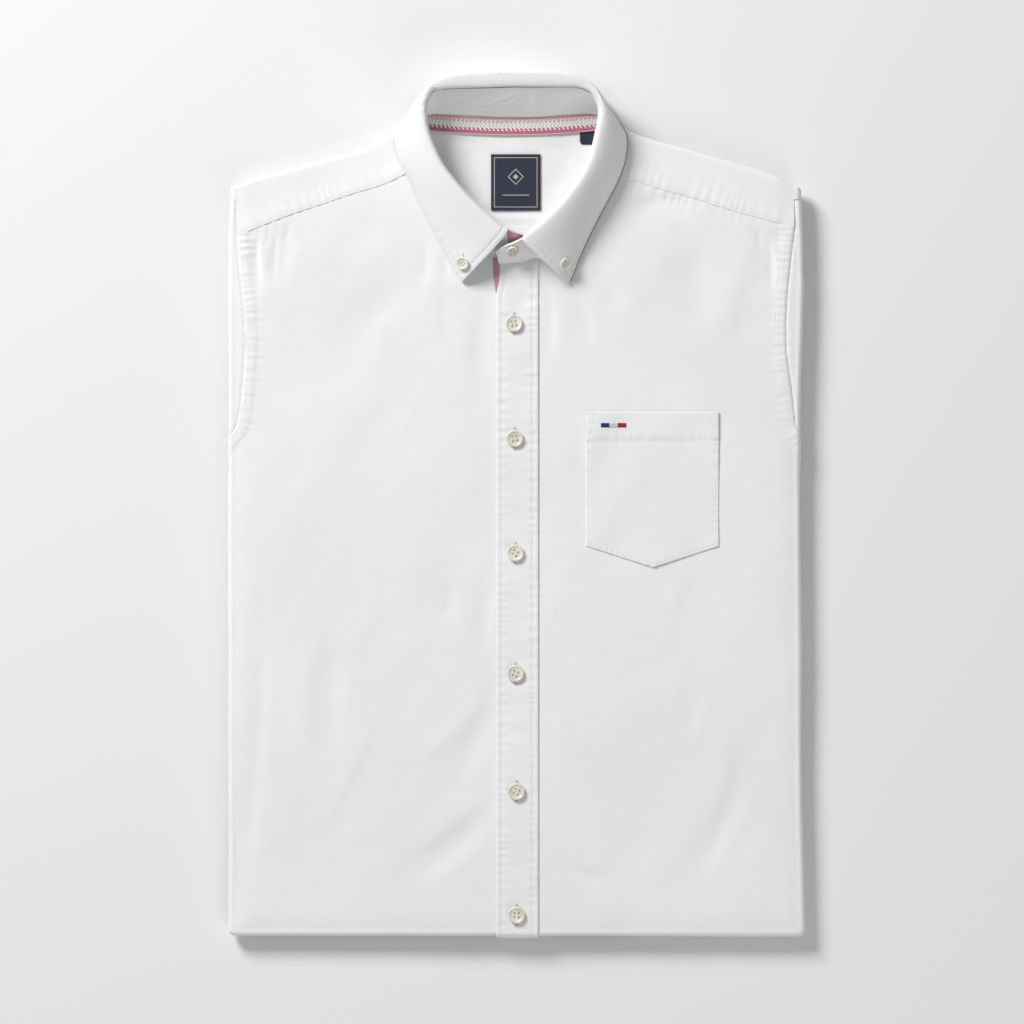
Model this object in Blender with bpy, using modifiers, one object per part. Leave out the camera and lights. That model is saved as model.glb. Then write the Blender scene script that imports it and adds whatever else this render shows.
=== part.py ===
"""Folded dress shirt, lying face up: the closed cloth solids of its stack, collar and buttons.

Units are metres in the scene. Tables are in millimetres and are scaled by MM.
X is to the wearer's left, Y is towards the collar and Z is up from the surface it rests on.
"""

import math

import bmesh
import bpy
import numpy as np
from mathutils import Matrix, Vector
from mathutils.bvhtree import BVHTree

MM = 0.001
COLLECTION_NAME = "folded_dress_shirt"

CLOTH = 1.2
COLLAR_CLOTH = 1.5
STAND_CLOTH = 1.8
PLACKET_CLOTH = 1.4
SEAM_GAP = 0.35
LAYER_GAP = 0.35
CORE_GAP = 0.55

ROLL_RADIUS = 5.5
ROLL_ANGLE = math.radians(150)
ROLL_LENGTH = ROLL_RADIUS * ROLL_ANGLE
ROLL_COLUMNS = 4
FLAT_COLUMNS = 7

# Moves the outline's middle onto the origin.
FRAME_SHIFT = (0.45, -0.66, 0.0)

BOTTOM_Y = -335.0
CROWN = 1.4

# How high the top of the stack is at each place along it: y, z.
TOP_HEIGHT = ((-335, 15.5), (-250, 16.2), (-100, 17.0), (50, 17.8), (170, 18.6), (320, 18.6))

# The side outlines: y, distance from the middle.
SIDE_RIGHT = ((-335, 225.4), (212, 225.4), (240, 223.9), (330, 223.5))
SIDE_LEFT = ((-335, 224.8), (-224, 222.7), (-10, 221.5), (68, 220.8), (93, 221.4), (175, 223.9),
             (213, 223.1), (240, 221.5), (330, 221.0))

# The top outline, over the shoulders and behind the neck: x, y.
TOP_OUTLINE = ((-226, 250.5), (-218, 251.5), (-210.6, 255.8), (-175.5, 264.4), (-137.3, 275.3),
               (-118.6, 279.2), (-96, 292.5), (-88, 298), (-80, 304.5), (-70, 309.5), (-50, 312.5),
               (0, 313), (44, 312.5), (62, 309.5), (72, 304.5), (80, 298), (88, 292.5),
               (109.2, 285.9), (144.3, 276.4), (175.5, 266.8), (204.4, 257.4), (216, 250.5),
               (226, 249))

# The armhole seams, as a place along and a distance across the unrolled sheet.
ARMHOLE_RIGHT = ((44, 234.3), (52, 228.5), (58, 222.5), (63.2, 218.8), (79, 215.6), (103, 213.2),
                 (134.7, 211.6), (158.6, 213.2), (184.1, 216.4), (211.9, 218.6), (240, 218.8))
ARMHOLE_LEFT = ((44, 229.7), (52, 224.5), (58, 220.5), (63.2, 217.5), (82.2, 215.4), (103, 212.5),
                (122, 210.1), (142.7, 209.6), (166.5, 210.8), (190.4, 213.3), (219, 216.4),
                (240, 216.6))

# The front yoke seams, from the armhole to the neck: x, y.
YOKE_SEAM_RIGHT = ((-218.6, 211.9), (-201.2, 219.2), (-177.4, 228.6), (-150.3, 237.4),
                   (-124.8, 246.2), (-104.1, 251.7), (-87.4, 260.5), (-79.2, 264.8))
YOKE_SEAM_LEFT = ((71.3, 261.2), (83.5, 257.4), (97.8, 253.3), (112.2, 248.5), (136, 242.2),
                  (159.9, 234.2), (185.4, 227), (206.7, 221.5), (216.4, 219.0))

# Stations around the collar, from its right point round the back to its left point. Each one is
# the neck seam, the fold, how far inside the fold and below it the leaf starts, and the leaf's
# outer edge. An edge height of 0 rests on the cloth below.
COLLAR_COLUMNS = ("neck_x", "neck_y", "fold_x", "fold_y", "fold_z", "inset", "drop",
                  "edge_x", "edge_y", "edge_z")
COLLAR = (
    (-12.0, 195.8, -7.5, 213.7, 44.0, 2.0, 2.4, -42.9, 175.1, 0),
    (-18.0, 198.5, -14.2, 217.0, 44.5, 2.4, 3.0, -48.0, 183.2, 0),
    (-32.0, 207.5, -23.6, 225.1, 45.0, 3.0, 3.6, -55.8, 196.9, 0),
    (-46.0, 220.0, -37.0, 237.2, 45.3, 3.0, 3.6, -66.5, 217.0, 0),
    (-60.0, 235.5, -49.1, 250.6, 45.5, 3.0, 3.6, -76.0, 237.1, 0),
    (-72.0, 251.0, -60.1, 265.4, 45.5, 3.0, 3.6, -84.5, 255.5, 0),
    (-80.0, 266.0, -67.9, 281.6, 45.5, 3.0, 3.6, -91.5, 269.5, 0),
    (-84.0, 281.0, -71.9, 294.9, 45.5, 3.0, 3.6, -94.8, 283.5, 21.4),
    (-83.3, 293.0, -73.3, 307.0, 45.5, 3.0, 3.6, -92.9, 293.0, 20.6),
    (-80.0, 299.5, -72.6, 315.5, 45.5, 3.2, 3.6, -87.0, 303.5, 16.5),
    (-76.0, 303.6, -67.9, 325.8, 45.6, 4.0, 3.5, -77.5, 316.0, 11.0),
    (-66.0, 306.8, -61.0, 330.5, 45.8, 7.0, 3.4, -66.0, 324.5, 7.5),
    (-56.0, 307.0, -53.1, 333.9, 46.0, 9.0, 3.4, -55.0, 328.5, 5.5),
    (-42.0, 306.3, -39.8, 335.9, 46.0, 10.5, 3.4, -40.0, 330.8, 4.5),
    (-20.0, 305.0, -20.0, 336.8, 46.0, 11.0, 3.4, -20.0, 331.8, 4.0),
    (0.0, 304.8, -3.4, 337.3, 46.0, 11.0, 3.4, -3.0, 332.0, 4.0),
    (18.0, 305.0, 14.0, 337.3, 46.0, 11.0, 3.4, 14.0, 332.0, 4.0),
    (36.0, 306.3, 32.0, 336.9, 46.0, 10.5, 3.4, 33.0, 331.3, 4.3),
    (50.0, 307.0, 46.0, 335.0, 46.0, 9.0, 3.4, 48.0, 329.4, 5.5),
    (60.0, 306.5, 55.0, 330.6, 45.8, 7.0, 3.4, 58.5, 325.5, 7.5),
    (68.5, 303.4, 61.6, 323.8, 45.6, 4.5, 3.5, 67.8, 317.5, 11.0),
    (73.5, 297.5, 65.9, 314.5, 45.5, 3.2, 3.6, 74.8, 305.0, 16.5),
    (76.3, 288.0, 66.4, 304.4, 45.5, 3.0, 3.6, 83.9, 293.3, 20.6),
    (76.0, 279.0, 63.9, 290.5, 45.5, 3.0, 3.6, 85.9, 282.5, 21.4),
    (73.0, 266.0, 59.7, 273.5, 45.5, 3.0, 3.6, 83.6, 267.5, 0),
    (66.0, 251.0, 53.0, 258.6, 45.5, 3.0, 3.6, 77.5, 252.3, 0),
    (55.0, 235.0, 44.9, 246.6, 45.5, 3.0, 3.6, 68.5, 235.2, 0),
    (42.0, 219.5, 34.2, 233.2, 45.3, 3.0, 3.6, 58.2, 215.5, 0),
    (29.0, 206.0, 20.7, 219.7, 45.0, 3.0, 3.6, 48.9, 195.4, 0),
    (17.0, 196.4, 8.5, 210.0, 44.5, 2.4, 3.0, 43.0, 180.0, 0),
    (12.0, 194.2, 4.6, 206.9, 44.0, 2.0, 2.4, 39.4, 173.9, 0),
)

# The stand's ends beyond the leaf: neck x, neck y, top x, top y, top z.
STAND_UNDER_END = ((12.0, 198.8, 5.0, 211.4, 36.5), (0.5, 197.0, -1.5, 213.2, 40.4))
STAND_OVER_END = ((3.0, 191.6, -3.0, 205.4, 40.4), (-7.5, 190.6, -11.5, 202.2, 38.2),
                  (-14.2, 190.4, -16.4, 199.4, 33.5))

PLACKET_LEFT = -16.4
PLACKET_RIGHT = 16.8
PLACKET_TOP = 189.0

POCKET_LEFT = 53.9
POCKET_RIGHT = 157.4
POCKET_TOP = 74.3
POCKET_HEM = 52.5
POCKET_SIDE_BOTTOM = -30.6
POCKET_TIP = (106.1, -47.2)

BUTTON_RADIUS = 6.65
BUTTON_HEIGHT = 2.6
SMALL_BUTTON_RADIUS = 5.0
SMALL_BUTTON_HEIGHT = 2.2
BUTTON_SEGMENTS = 16
HOLE_RADIUS = 0.75
HOLE_OFFSET = 1.7
PLACKET_BUTTONS = ((-2.4, 143.1), (-1.8, 53.4), (-1.3, -35.9), (-1.2, -129.9), (-0.4, -221.9),
                   (-0.4, -318.2))
STAND_BUTTON = (-3.4, 199.6)
COLLAR_BUTTONS = (("right", -41.7, 190.2), ("left", 37.4, 189.5))

# The folded layers' edge, from the top roll's underside to the floor: inset, share of the height.
EDGE_LAYERS = ((8.2, 1.04), (9.4, 0.90), (6.6, 0.74), (5.9, 0.57), (6.8, 0.42), (9.2, 0.35),
               (7.6, 0.22), (7.9, 0.08), (9.6, 0.0))

COLOURS = {
    "cloth": (0.86, 0.87, 0.89, 1),
    "navy": (0.03, 0.035, 0.07, 1),
    "tape": (0.62, 0.18, 0.26, 1),
    "button": (0.82, 0.79, 0.68, 1),
    "flag": (0.7, 0.7, 0.75, 1),
}


def remove_scene_objects():
    """Empties the scene that the script starts in."""
    for item in list(bpy.data.objects):
        bpy.data.objects.remove(item, do_unlink=True)


def lookup(table, value):
    """The second column of a two-column table, at a value of its first."""
    return float(np.interp(value, [row[0] for row in table], [row[1] for row in table]))


def smooth_path(points, count):
    """Points evenly spaced by station along a Catmull-Rom curve through a table's rows."""
    rows = np.array(points, float)
    padded = np.vstack([2 * rows[0] - rows[1], rows, 2 * rows[-1] - rows[-2]])
    result = []
    for at in np.linspace(0, len(rows) - 1, count):
        k = min(int(at), len(rows) - 2)
        t = at - k
        p0, p1, p2, p3 = padded[k:k + 4]
        result.append(0.5 * (2 * p1 + (p2 - p0) * t + (2 * p0 - 5 * p1 + 4 * p2 - p3) * t**2
                             + (3 * p1 - p0 - 3 * p2 + p3) * t**3))
    return np.array(result)


def side_edge(x, y):
    """The outline's distance from the middle, on the side that x is on."""
    return lookup(SIDE_RIGHT if x < 0 else SIDE_LEFT, y)


def top_height(x, y):
    """The height of the fronts' and yoke's outer face over the flat of the stack."""
    across = min(abs(x) / (side_edge(x, y) - ROLL_RADIUS), 1)
    return lookup(TOP_HEIGHT, y) + CROWN * math.cos(across * math.pi / 2) ** 2


def roll_frame(a, b):
    """Where a place on the unrolled sheet leaves the flat: foot x, foot y, direction, roll angle."""
    bottom_line = BOTTOM_Y + ROLL_RADIUS
    half = side_edge(a, max(b, bottom_line)) - ROLL_RADIUS
    foot_x = math.copysign(min(abs(a), half), a)
    top_line = lookup(TOP_OUTLINE, foot_x) - ROLL_RADIUS
    foot_y = min(max(b, bottom_line), top_line)
    over_x = a - foot_x
    over_y = b - foot_y
    over = max(abs(over_x), abs(over_y))
    if over < 1e-9:
        return foot_x, foot_y, (0.0, 0.0), 0.0
    size = math.hypot(over_x, over_y)
    return foot_x, foot_y, (over_x / size, over_y / size), over / ROLL_RADIUS


def stack_point(a, b, depth):
    """A point depth below the stack's outer face, at a place on the unrolled sheet."""
    foot_x, foot_y, direction, angle = roll_frame(a, b)
    centre = top_height(foot_x, foot_y) - ROLL_RADIUS
    radius = ROLL_RADIUS - depth
    return (foot_x + direction[0] * radius * math.sin(angle),
            foot_y + direction[1] * radius * math.sin(angle),
            centre + radius * math.cos(angle))


def neck_loop():
    """The neck seam as a closed loop, from the front round the left of the page."""
    loop = [(0.0, 190.8)]
    loop += [(row[0], row[1]) for row in COLLAR[1:-1]]
    return loop


NECK_CENTRE = (-3.5, 255.0)
NECK_POLAR = sorted(
    (math.atan2(y - NECK_CENTRE[1], x - NECK_CENTRE[0]),
     math.hypot(x - NECK_CENTRE[0], y - NECK_CENTRE[1]))
    for x, y in neck_loop()
)


def neck_distance(x, y):
    """How far a point is outside the neck loop, negative inside, measured from its centre."""
    angle = math.atan2(y - NECK_CENTRE[1], x - NECK_CENTRE[0])
    angles = [row[0] for row in NECK_POLAR]
    radii = [row[1] for row in NECK_POLAR]
    radius = float(np.interp(angle, angles, radii, period=2 * math.pi))
    return math.hypot(x - NECK_CENTRE[0], y - NECK_CENTRE[1]) - radius


def smoothstep(value):
    """0 to 1 with level ends."""
    t = min(max(value, 0.0), 1.0)
    return t * t * (3 - 2 * t)


def neck_sag(x, y):
    """How far the inner yoke sags below the neck seam."""
    return 1.8 * smoothstep(-neck_distance(x, y) / 45)


def inner_top(x, y):
    """The height of the inner yoke's upper face."""
    return top_height(x, y) - CLOTH - LAYER_GAP - 0.1 - neck_sag(x, y)


def core_depth(a, b):
    """How far below the outer face the folded layers start, deeper under the neck."""
    near_neck = 1 - smoothstep((neck_distance(a, b) - 30) / 32)
    past_side = abs(a) - side_edge(a, b) + ROLL_RADIUS
    past_top = b - lookup(TOP_OUTLINE, a) + ROLL_RADIUS
    past_bottom = BOTTOM_Y + ROLL_RADIUS - b
    tuck = max(1.8 * smoothstep((past_side + 5) / 7), 1.8 * smoothstep((past_bottom + 5) / 7),
               3.2 * smoothstep((past_top + 12) / 14))
    return CLOTH + CORE_GAP + tuck + near_neck * (CLOTH + LAYER_GAP + 0.1) + neck_sag(a, b)


def offset_loop_point(x, y, distance):
    """A point of the neck loop moved away from its centre, negative towards it."""
    length = math.hypot(x - NECK_CENTRE[0], y - NECK_CENTRE[1])
    scale = (length + distance) / length
    return (NECK_CENTRE[0] + (x - NECK_CENTRE[0]) * scale,
            NECK_CENTRE[1] + (y - NECK_CENTRE[1]) * scale)


def new_object(name, mesh, colour):
    """Links a mesh as one named solid with a material of its own."""
    material = bpy.data.materials.new(f"{name}_material")
    material.use_nodes = True
    shader = material.node_tree.nodes["Principled BSDF"]
    shader.inputs["Base Color"].default_value = COLOURS[colour]
    shader.inputs["Roughness"].default_value = 0.35 if colour == "button" else 0.85
    mesh.materials.append(material)
    item = bpy.data.objects.new(name, mesh)
    bpy.data.collections[COLLECTION_NAME].objects.link(item)
    return item


def grid_mesh(name, points):
    """A mesh with one vertex for each of the rows and columns of points, in millimetres."""
    rows = len(points)
    columns = len(points[0])
    grid = bmesh.new()
    bmesh.ops.create_grid(grid, x_segments=columns - 1, y_segments=rows - 1, size=1)
    ordered = sorted(grid.verts, key=lambda v: (round(v.co.y, 5), round(v.co.x, 5)))
    for k, vertex in enumerate(ordered):
        vertex.co = Vector(points[k // columns][k % columns]) * MM
    mesh = bpy.data.meshes.new(name)
    grid.to_mesh(mesh)
    grid.free()
    return mesh


def thicken(item, thickness, offset=-1.0):
    """Turns a sheet into a closed wall below its outer face."""
    wall = item.modifiers.new("wall", "SOLIDIFY")
    wall.thickness = thickness * MM
    wall.offset = offset
    return item


def cloth_sheet(name, points, thickness, colour="cloth", offset=-1.0):
    """A cloth wall from a grid of points on its outer face."""
    return thicken(new_object(name, grid_mesh(name, points), colour), thickness, offset)


def columns_from_edge(inner, outer, flat_columns):
    """Places from inner to outer, the last few at the roll's own spacing."""
    inner = np.array(inner, float)
    outer = np.array(outer, float)
    length = float(np.linalg.norm(outer - inner))
    rolled = min(ROLL_LENGTH, 0.75 * length)
    flat = np.linspace(0, length - rolled, flat_columns + 1)
    curl = np.linspace(length - rolled, length, ROLL_COLUMNS + 1)[1:]
    return [tuple(inner + (outer - inner) * d / length) for d in (*flat, *curl)]


def seam_line(seam):
    """A yoke seam as the points that the front's rows and the yoke's columns share."""
    rows = sorted(seam, key=lambda p: abs(p[0]))
    places = columns_from_edge(rows[0], rows[-1], FLAT_COLUMNS)
    rising = sorted(seam)
    return [(x, lookup(rising, x)) for x, _ in places]


def front_rows(seam):
    """The places along a front where its rows lie, up to the neck end of its yoke seam."""
    bottom_line = BOTTOM_Y + ROLL_RADIUS
    curl = [bottom_line - ROLL_LENGTH * (1 - k / ROLL_COLUMNS) for k in range(ROLL_COLUMNS)]
    body = list(np.linspace(bottom_line, 36, 13))
    armhole = [44, 52, 58, 63.2, 82, 103, 122, 142.7, 166.5, 190.4, 201]
    return curl + body + armhole + sorted(y for _, y in seam_line(seam))


def neck_edge(y, side):
    """How far across a front's inner edge is, at a place along it."""
    loop = [offset_loop_point(row[0], row[1], -2.0) for row in COLLAR]
    ring = [p for p in loop if p[0] * side > 0 and p[1] < 270]
    ring = sorted([(0.3 * side, 188.8)] + ring, key=lambda p: p[1])
    if y <= ring[0][1]:
        return 0.3 * side
    return float(np.interp(y, [p[1] for p in ring], [p[0] for p in ring]))


def outer_edge(y, side, armhole, seam):
    """How far across a front's outer edge is, at a place along it."""
    rising = sorted((p[1], p[0]) for p in seam_line(seam))
    if y >= rising[0][0]:
        return lookup(rising, y)
    if y <= armhole[0][0]:
        line = max(y, BOTTOM_Y + ROLL_RADIUS)
        return side * (side_edge(side, line) - ROLL_RADIUS + ROLL_LENGTH)
    return side * lookup(armhole, y)


def build_front(name, side, armhole, seam):
    """One front panel, rolled under at its side and at the bottom fold."""
    points = []
    for y in front_rows(seam):
        inner = neck_edge(y, side)
        outer = outer_edge(y, side, armhole, seam)
        row = columns_from_edge((inner, y), (outer, y), FLAT_COLUMNS)
        if side < 0:
            row.reverse()
        points.append([stack_point(a, b, 0) for a, b in row])
    return cloth_sheet(name, points, CLOTH)


def build_sleeve(name, side, armhole):
    """The sliver of sleeve between the armhole seam and the side roll."""
    points = []
    for y in (48.5, 52, 58, 63.2, 82, 103, 122, 142.7, 166.5, 190.4, 201, 211.9, 219,
              226, 238.6):
        inner = side * (lookup(armhole, y) + SEAM_GAP + 0.25)
        outer = side * (side_edge(side, y) - ROLL_RADIUS + ROLL_LENGTH)
        row = [(a, y) for a in np.linspace(inner, outer, 7)]
        if side < 0:
            row.reverse()
        points.append([stack_point(a, b, 0) for a, b in row])
    return cloth_sheet(name, points, CLOTH)


def yoke_sections():
    """The yoke's sections round the neck, each from its neck edge to its outer edge."""
    lip = ROLL_LENGTH - ROLL_RADIUS
    ends = [
        ((-80.0, 274.0), (-218.3, 226.0)),
        ((-81.8, 281.0), (-218.3, 239.8)),
        ((-81.7, 285.0), (-225.5, 240.6)),
        ((-81.3, 288.4), (-232.6, 243.0)),
        ((-80.8, 290.8), (-232.6, 252.0)),
        ((-80.0, 293.2), (-232.6, 260.3)),
        ((-79.2, 295.2), (-224.0, 260.5)),
    ]
    upper = [(-78, 296.8, -210.6), (-76.5, 299.0, -175.5), (-74.5, 300.8, -137.3),
             (-72, 302.4, -118.6), (-67, 304.2, -96), (-60, 305.6, -80), (-45, 305.4, -62),
             (-22, 304.5, -28), (0, 303.9, 0), (22, 304.5, 28), (42, 305.4, 56),
             (53, 305.6, 72), (61, 304.6, 88), (66, 302.2, 109.2), (69, 299.6, 144.3),
             (71.3, 296.8, 175.5), (72.4, 294.4, 204.4)]
    ends += [((x, y), (end, lookup(TOP_OUTLINE, end) + lip)) for x, y, end in upper]
    ends += [
        ((72.9, 292.8), (222.0, 259.4)),
        ((73.4, 291.2), (230.0, 259.3)),
        ((73.7, 289.2), (230.0, 251.5)),
        ((73.9, 287.0), (230.0, 243.0)),
        ((74.0, 283.0), (222.5, 240.6)),
        ((74.0, 279.0), (216.2, 239.8)),
        ((72.4, 270.0), (216.2, 230.0)),
    ]
    sections = [columns_from_edge(inner, outer, FLAT_COLUMNS) for inner, outer in ends]
    for seam, first, order in ((YOKE_SEAM_RIGHT, 0, 1), (YOKE_SEAM_LEFT, len(sections) - 1, -1)):
        line = seam_line(seam)
        (x0, y0), (x1, y1) = line[0], line[-1]
        bows = [y - y0 - (y1 - y0) * (x - x0) / (x1 - x0) for x, y in line]
        for step, fade in ((0, 0.6), (1, 0.25)):
            section = sections[first + order * step]
            sections[first + order * step] = [(x, y + fade * bow)
                                              for (x, y), bow in zip(section, bows)]
        edge = [(x, y + SEAM_GAP + 0.15) for x, y in line]
        if order > 0:
            sections.insert(0, edge)
        else:
            sections.append(edge)
    return sections


def build_yoke():
    """The outer yoke, from one front seam round the neck to the other."""
    sections = yoke_sections()
    points = [[stack_point(*section[k], 0) for section in sections]
              for k in range(len(sections[0]))]
    return cloth_sheet("yoke", points, CLOTH)


def build_inner_yoke():
    """The inside of the yoke, a sheet that shows through the neck."""
    points = []
    for v in np.linspace(-1, 1, 11):
        row = []
        for u in np.linspace(-1, 1, 11):
            disc_x = u * math.sqrt(1 - v * v / 2)
            disc_y = v * math.sqrt(1 - u * u / 2)
            angle = math.atan2(disc_y, disc_x)
            angles = [p[0] for p in NECK_POLAR]
            radius = float(np.interp(angle, angles, [p[1] for p in NECK_POLAR],
                                     period=2 * math.pi))
            reach = math.hypot(disc_x, disc_y) * (radius + 2)
            x = NECK_CENTRE[0] + reach * math.cos(angle)
            y = min(NECK_CENTRE[1] + reach * math.sin(angle),
                    lookup(TOP_OUTLINE, x) - ROLL_RADIUS - 2.5)
            row.append((x, y, inner_top(x, y)))
        points.append(row)
    return cloth_sheet("yoke_inner", points, CLOTH)


def build_folded_layers():
    """The hidden layers as one solid: a top under the panels, a layered edge and a flat base."""
    bottom_line = BOTTOM_Y + ROLL_RADIUS
    along = list(np.linspace(bottom_line, 170, 14))
    points = []
    half_roll = [ROLL_LENGTH * k / ROLL_COLUMNS for k in range(1, ROLL_COLUMNS + 1)]
    rows = [("low", -d) for d in reversed(half_roll)]
    rows += [("body", y) for y in along]
    rows += [("rise", f) for f in (0.2, 0.4, 0.6, 0.8, 1.0)]
    rows += [("top", d) for d in half_roll]
    for kind, value in rows:
        row = []
        flat = np.linspace(-1, 1, 15)
        for a_kind, a_value in (*[("side", -d) for d in reversed(half_roll)],
                                *[("flat", u) for u in flat],
                                *[("side", d) for d in half_roll]):
            y_guess = {"low": bottom_line, "body": value, "rise": 220, "top": 240}[kind]
            half_left = side_edge(-1, y_guess) - ROLL_RADIUS
            half_right = side_edge(1, y_guess) - ROLL_RADIUS
            if a_kind == "flat":
                a = a_value * (half_right if a_value > 0 else half_left)
            else:
                a = a_value + (half_right if a_value > 0 else -half_left)
            foot = min(max(a, -half_left), half_right)
            top_line = lookup(TOP_OUTLINE, foot) - ROLL_RADIUS
            b = {"low": bottom_line + value, "body": value,
                 "rise": 170 + (top_line - 170) * value, "top": top_line + value}[kind]
            row.append((a, b))
        points.append(row)
    mesh = grid_mesh("folded_layers", [[stack_point(a, b, core_depth(a, b)) for a, b in row]
                                       for row in points])
    solid = bmesh.new()
    solid.from_mesh(mesh)
    feet = {}
    columns = len(points[0])
    solid.verts.ensure_lookup_table()
    place_of = {}
    for r, row in enumerate(points):
        for c, (a, b) in enumerate(row):
            key = tuple(round(value, 7) for value in
                        Vector(stack_point(a, b, core_depth(a, b))) * MM)
            place_of[key] = (a, b)
    ring = [e for e in solid.edges if e.is_boundary]
    for vertex in {v for e in ring for v in e.verts}:
        key = tuple(round(value, 7) for value in vertex.co)
        nearest = min(place_of, key=lambda k: (Vector(k) - vertex.co).length_squared)
        a, b = place_of.get(key, place_of[nearest])
        feet[vertex] = roll_frame(a, b)
    for level, (inset, share) in enumerate(EDGE_LAYERS):
        made = bmesh.ops.extrude_edge_only(solid, edges=ring)["geom"]
        new_verts = [g for g in made if isinstance(g, bmesh.types.BMVert)]
        ring = [g for g in made if isinstance(g, bmesh.types.BMEdge) and g.is_boundary]
        next_feet = {}
        for vertex in new_verts:
            source = min(feet, key=lambda v: (v.co - vertex.co).length_squared)
            foot_x, foot_y, direction, angle = feet[source]
            low = top_height(foot_x, foot_y) - 2 * ROLL_RADIUS
            sway = 0.9 * math.sin(0.021 * foot_x + 1.7 * level) * math.sin(
                0.017 * foot_y + 2.3 * level)
            reach = ROLL_RADIUS - inset + sway
            next_feet[vertex] = (foot_x, foot_y, direction, angle)
            vertex.co = Vector((foot_x + direction[0] * reach, foot_y + direction[1] * reach,
                                low * share)) * MM
        feet = next_feet
    bmesh.ops.contextual_create(solid, geom=ring)
    bmesh.ops.recalc_face_normals(solid, faces=solid.faces)
    solid.to_mesh(mesh)
    solid.free()
    return new_object("folded_layers", mesh, "cloth")


def collar_stations(count):
    """The collar's table as smooth rows keyed by column name."""
    rows = []
    for values in COLLAR:
        row = dict(zip(COLLAR_COLUMNS, values))
        if row["edge_z"] == 0:
            row["edge_z"] = top_height(row["edge_x"], row["edge_y"]) + COLLAR_CLOTH + 0.6
        rows.append([row[name] for name in COLLAR_COLUMNS])
    return smooth_path(rows, count)


def fold_inward(rows):
    """The level direction from the fold towards the neck at each station."""
    path = rows[:, 2:4]
    tangent = np.gradient(path, axis=0)
    normal = np.stack([tangent[:, 1], -tangent[:, 0]], axis=1)
    return normal / np.linalg.norm(normal, axis=1, keepdims=True)


def bezier(p0, p1, p2, p3, count):
    """Points along a cubic Bezier curve."""
    t = np.linspace(0, 1, count)[:, None]
    return (1 - t)**3 * p0 + 3 * (1 - t)**2 * t * p1 + 3 * (1 - t) * t**2 * p2 + t**3 * p3


def build_leaf(stations=38):
    """The turned-down collar: from the stand's top over the fold and down to its outer edge."""
    rows = collar_stations(stations)
    inward = fold_inward(rows)
    up = np.array([0.0, 0.0, 1.0])
    points = []
    for k, row in enumerate(rows):
        n = np.array([inward[k][0], inward[k][1], 0.0])
        fold = np.array([row[2], row[3], row[4]])
        start = fold + n * row[5] - up * row[6]
        edge = np.array(row[7:10])
        spread = float(np.linalg.norm((edge - fold)[:2]))
        reach = 2.5 + 5.0 * smoothstep((spread - 8) / 12)
        hang = 8.0 if row[9] > 18 else 12.0
        rise = bezier(start, start + up * row[6] * 0.7, fold + n * row[5] * 0.45, fold, 4)
        fall = bezier(fold, fold - n * reach, edge + up * hang, edge, 7)
        points.append([tuple(p) for p in (*rise, *fall[1:])])
    grid = [[points[s][k] for s in range(stations)] for k in range(len(points[0]))]
    return cloth_sheet("collar_leaf", grid, COLLAR_CLOTH)


def stand_rows():
    """The stand's stations from its under end to its over end: neck point and top point."""
    rows = np.array(collar_stations(len(COLLAR)))
    inward = fold_inward(rows)
    stations = [list(row) for row in STAND_UNDER_END]
    for row, n in zip(rows, inward):
        top = row[2:4] + n * row[5]
        stations.append([row[0], row[1], top[0], top[1], row[4] - row[6] - 0.9 - SEAM_GAP])
    stations += [list(row) for row in STAND_OVER_END]
    return stations


def build_stand(stations=42):
    """The collar band, a wall on the neck seam with one end over the other in front."""
    grid = [[], [], [], []]
    for neck_x, neck_y, top_x, top_y, top_z in smooth_path(stand_rows(), stations):
        over_placket = smoothstep((22 - abs(neck_x)) / 6) * smoothstep((204 - neck_y) / 6)
        foot_z = top_height(neck_x, neck_y) + 1.2 + 1.9 * over_placket
        for k, share in enumerate((0.0, 0.35, 0.7, 1.0)):
            bow = 1.2 * math.sin(math.pi * share)
            grid[k].append((neck_x + (top_x - neck_x) * share,
                            neck_y + (top_y - neck_y) * share,
                            foot_z + (top_z - foot_z) * share + bow))
    return cloth_sheet("collar_stand", grid, STAND_CLOTH, offset=0.0)


def build_placket():
    """The placket strip on the fronts, rolled under with them at the bottom fold."""
    rise = PLACKET_CLOTH + LAYER_GAP
    points = []
    for y in [row for row in front_rows(YOKE_SEAM_LEFT) if row < 182] + [PLACKET_TOP]:
        points.append([stack_point(a, y, -rise)
                       for a in np.linspace(PLACKET_LEFT, PLACKET_RIGHT, 4)])
    return cloth_sheet("placket", points, PLACKET_CLOTH)


def build_button_band():
    """The sliver of contrast tape that shows beside the placket's upper end."""
    points = []
    for y, width in ((167.5, 1.6), (175, 2.6), (183, 3.6), (190.5, 4.0)):
        edge = PLACKET_LEFT - SEAM_GAP - 0.1
        points.append([(edge - width * f, y, top_height(edge, y) + LAYER_GAP + 1.0)
                       for f in (1.0, 0.5, 0.0)])
    return cloth_sheet("button_band", points, 1.0, "tape")


def flat_patch(name, x_range, y_range, cells, height, thickness, colour):
    """A small rectangle of cloth, its outer face at a height given by a function of place."""
    points = [[(x, y, height(x, y)) for x in np.linspace(*x_range, cells[0] + 1)]
              for y in np.linspace(*y_range, cells[1] + 1)]
    return cloth_sheet(name, points, thickness, colour)


def build_neck_trims():
    """The herringbone tape, the woven label and the tab, which lie on the inner yoke."""
    rise = LAYER_GAP + 1.2
    flat_patch("neck_tape", (-69.5, 62.5), (290.6, 302.8), (14, 2),
               lambda x, y: inner_top(x, y) + rise + 0.2, 1.0, "tape")
    flat_patch("neck_label", (-20.3, 18.3), (231.3, 275.1), (4, 5),
               lambda x, y: inner_top(x, y) + rise, 1.0, "navy")
    flat_patch("size_tab", (49.0, 61.0), (279.2, 290.4), (2, 2),
               lambda x, y: inner_top(x, y) + rise, 1.0, "navy")


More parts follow.
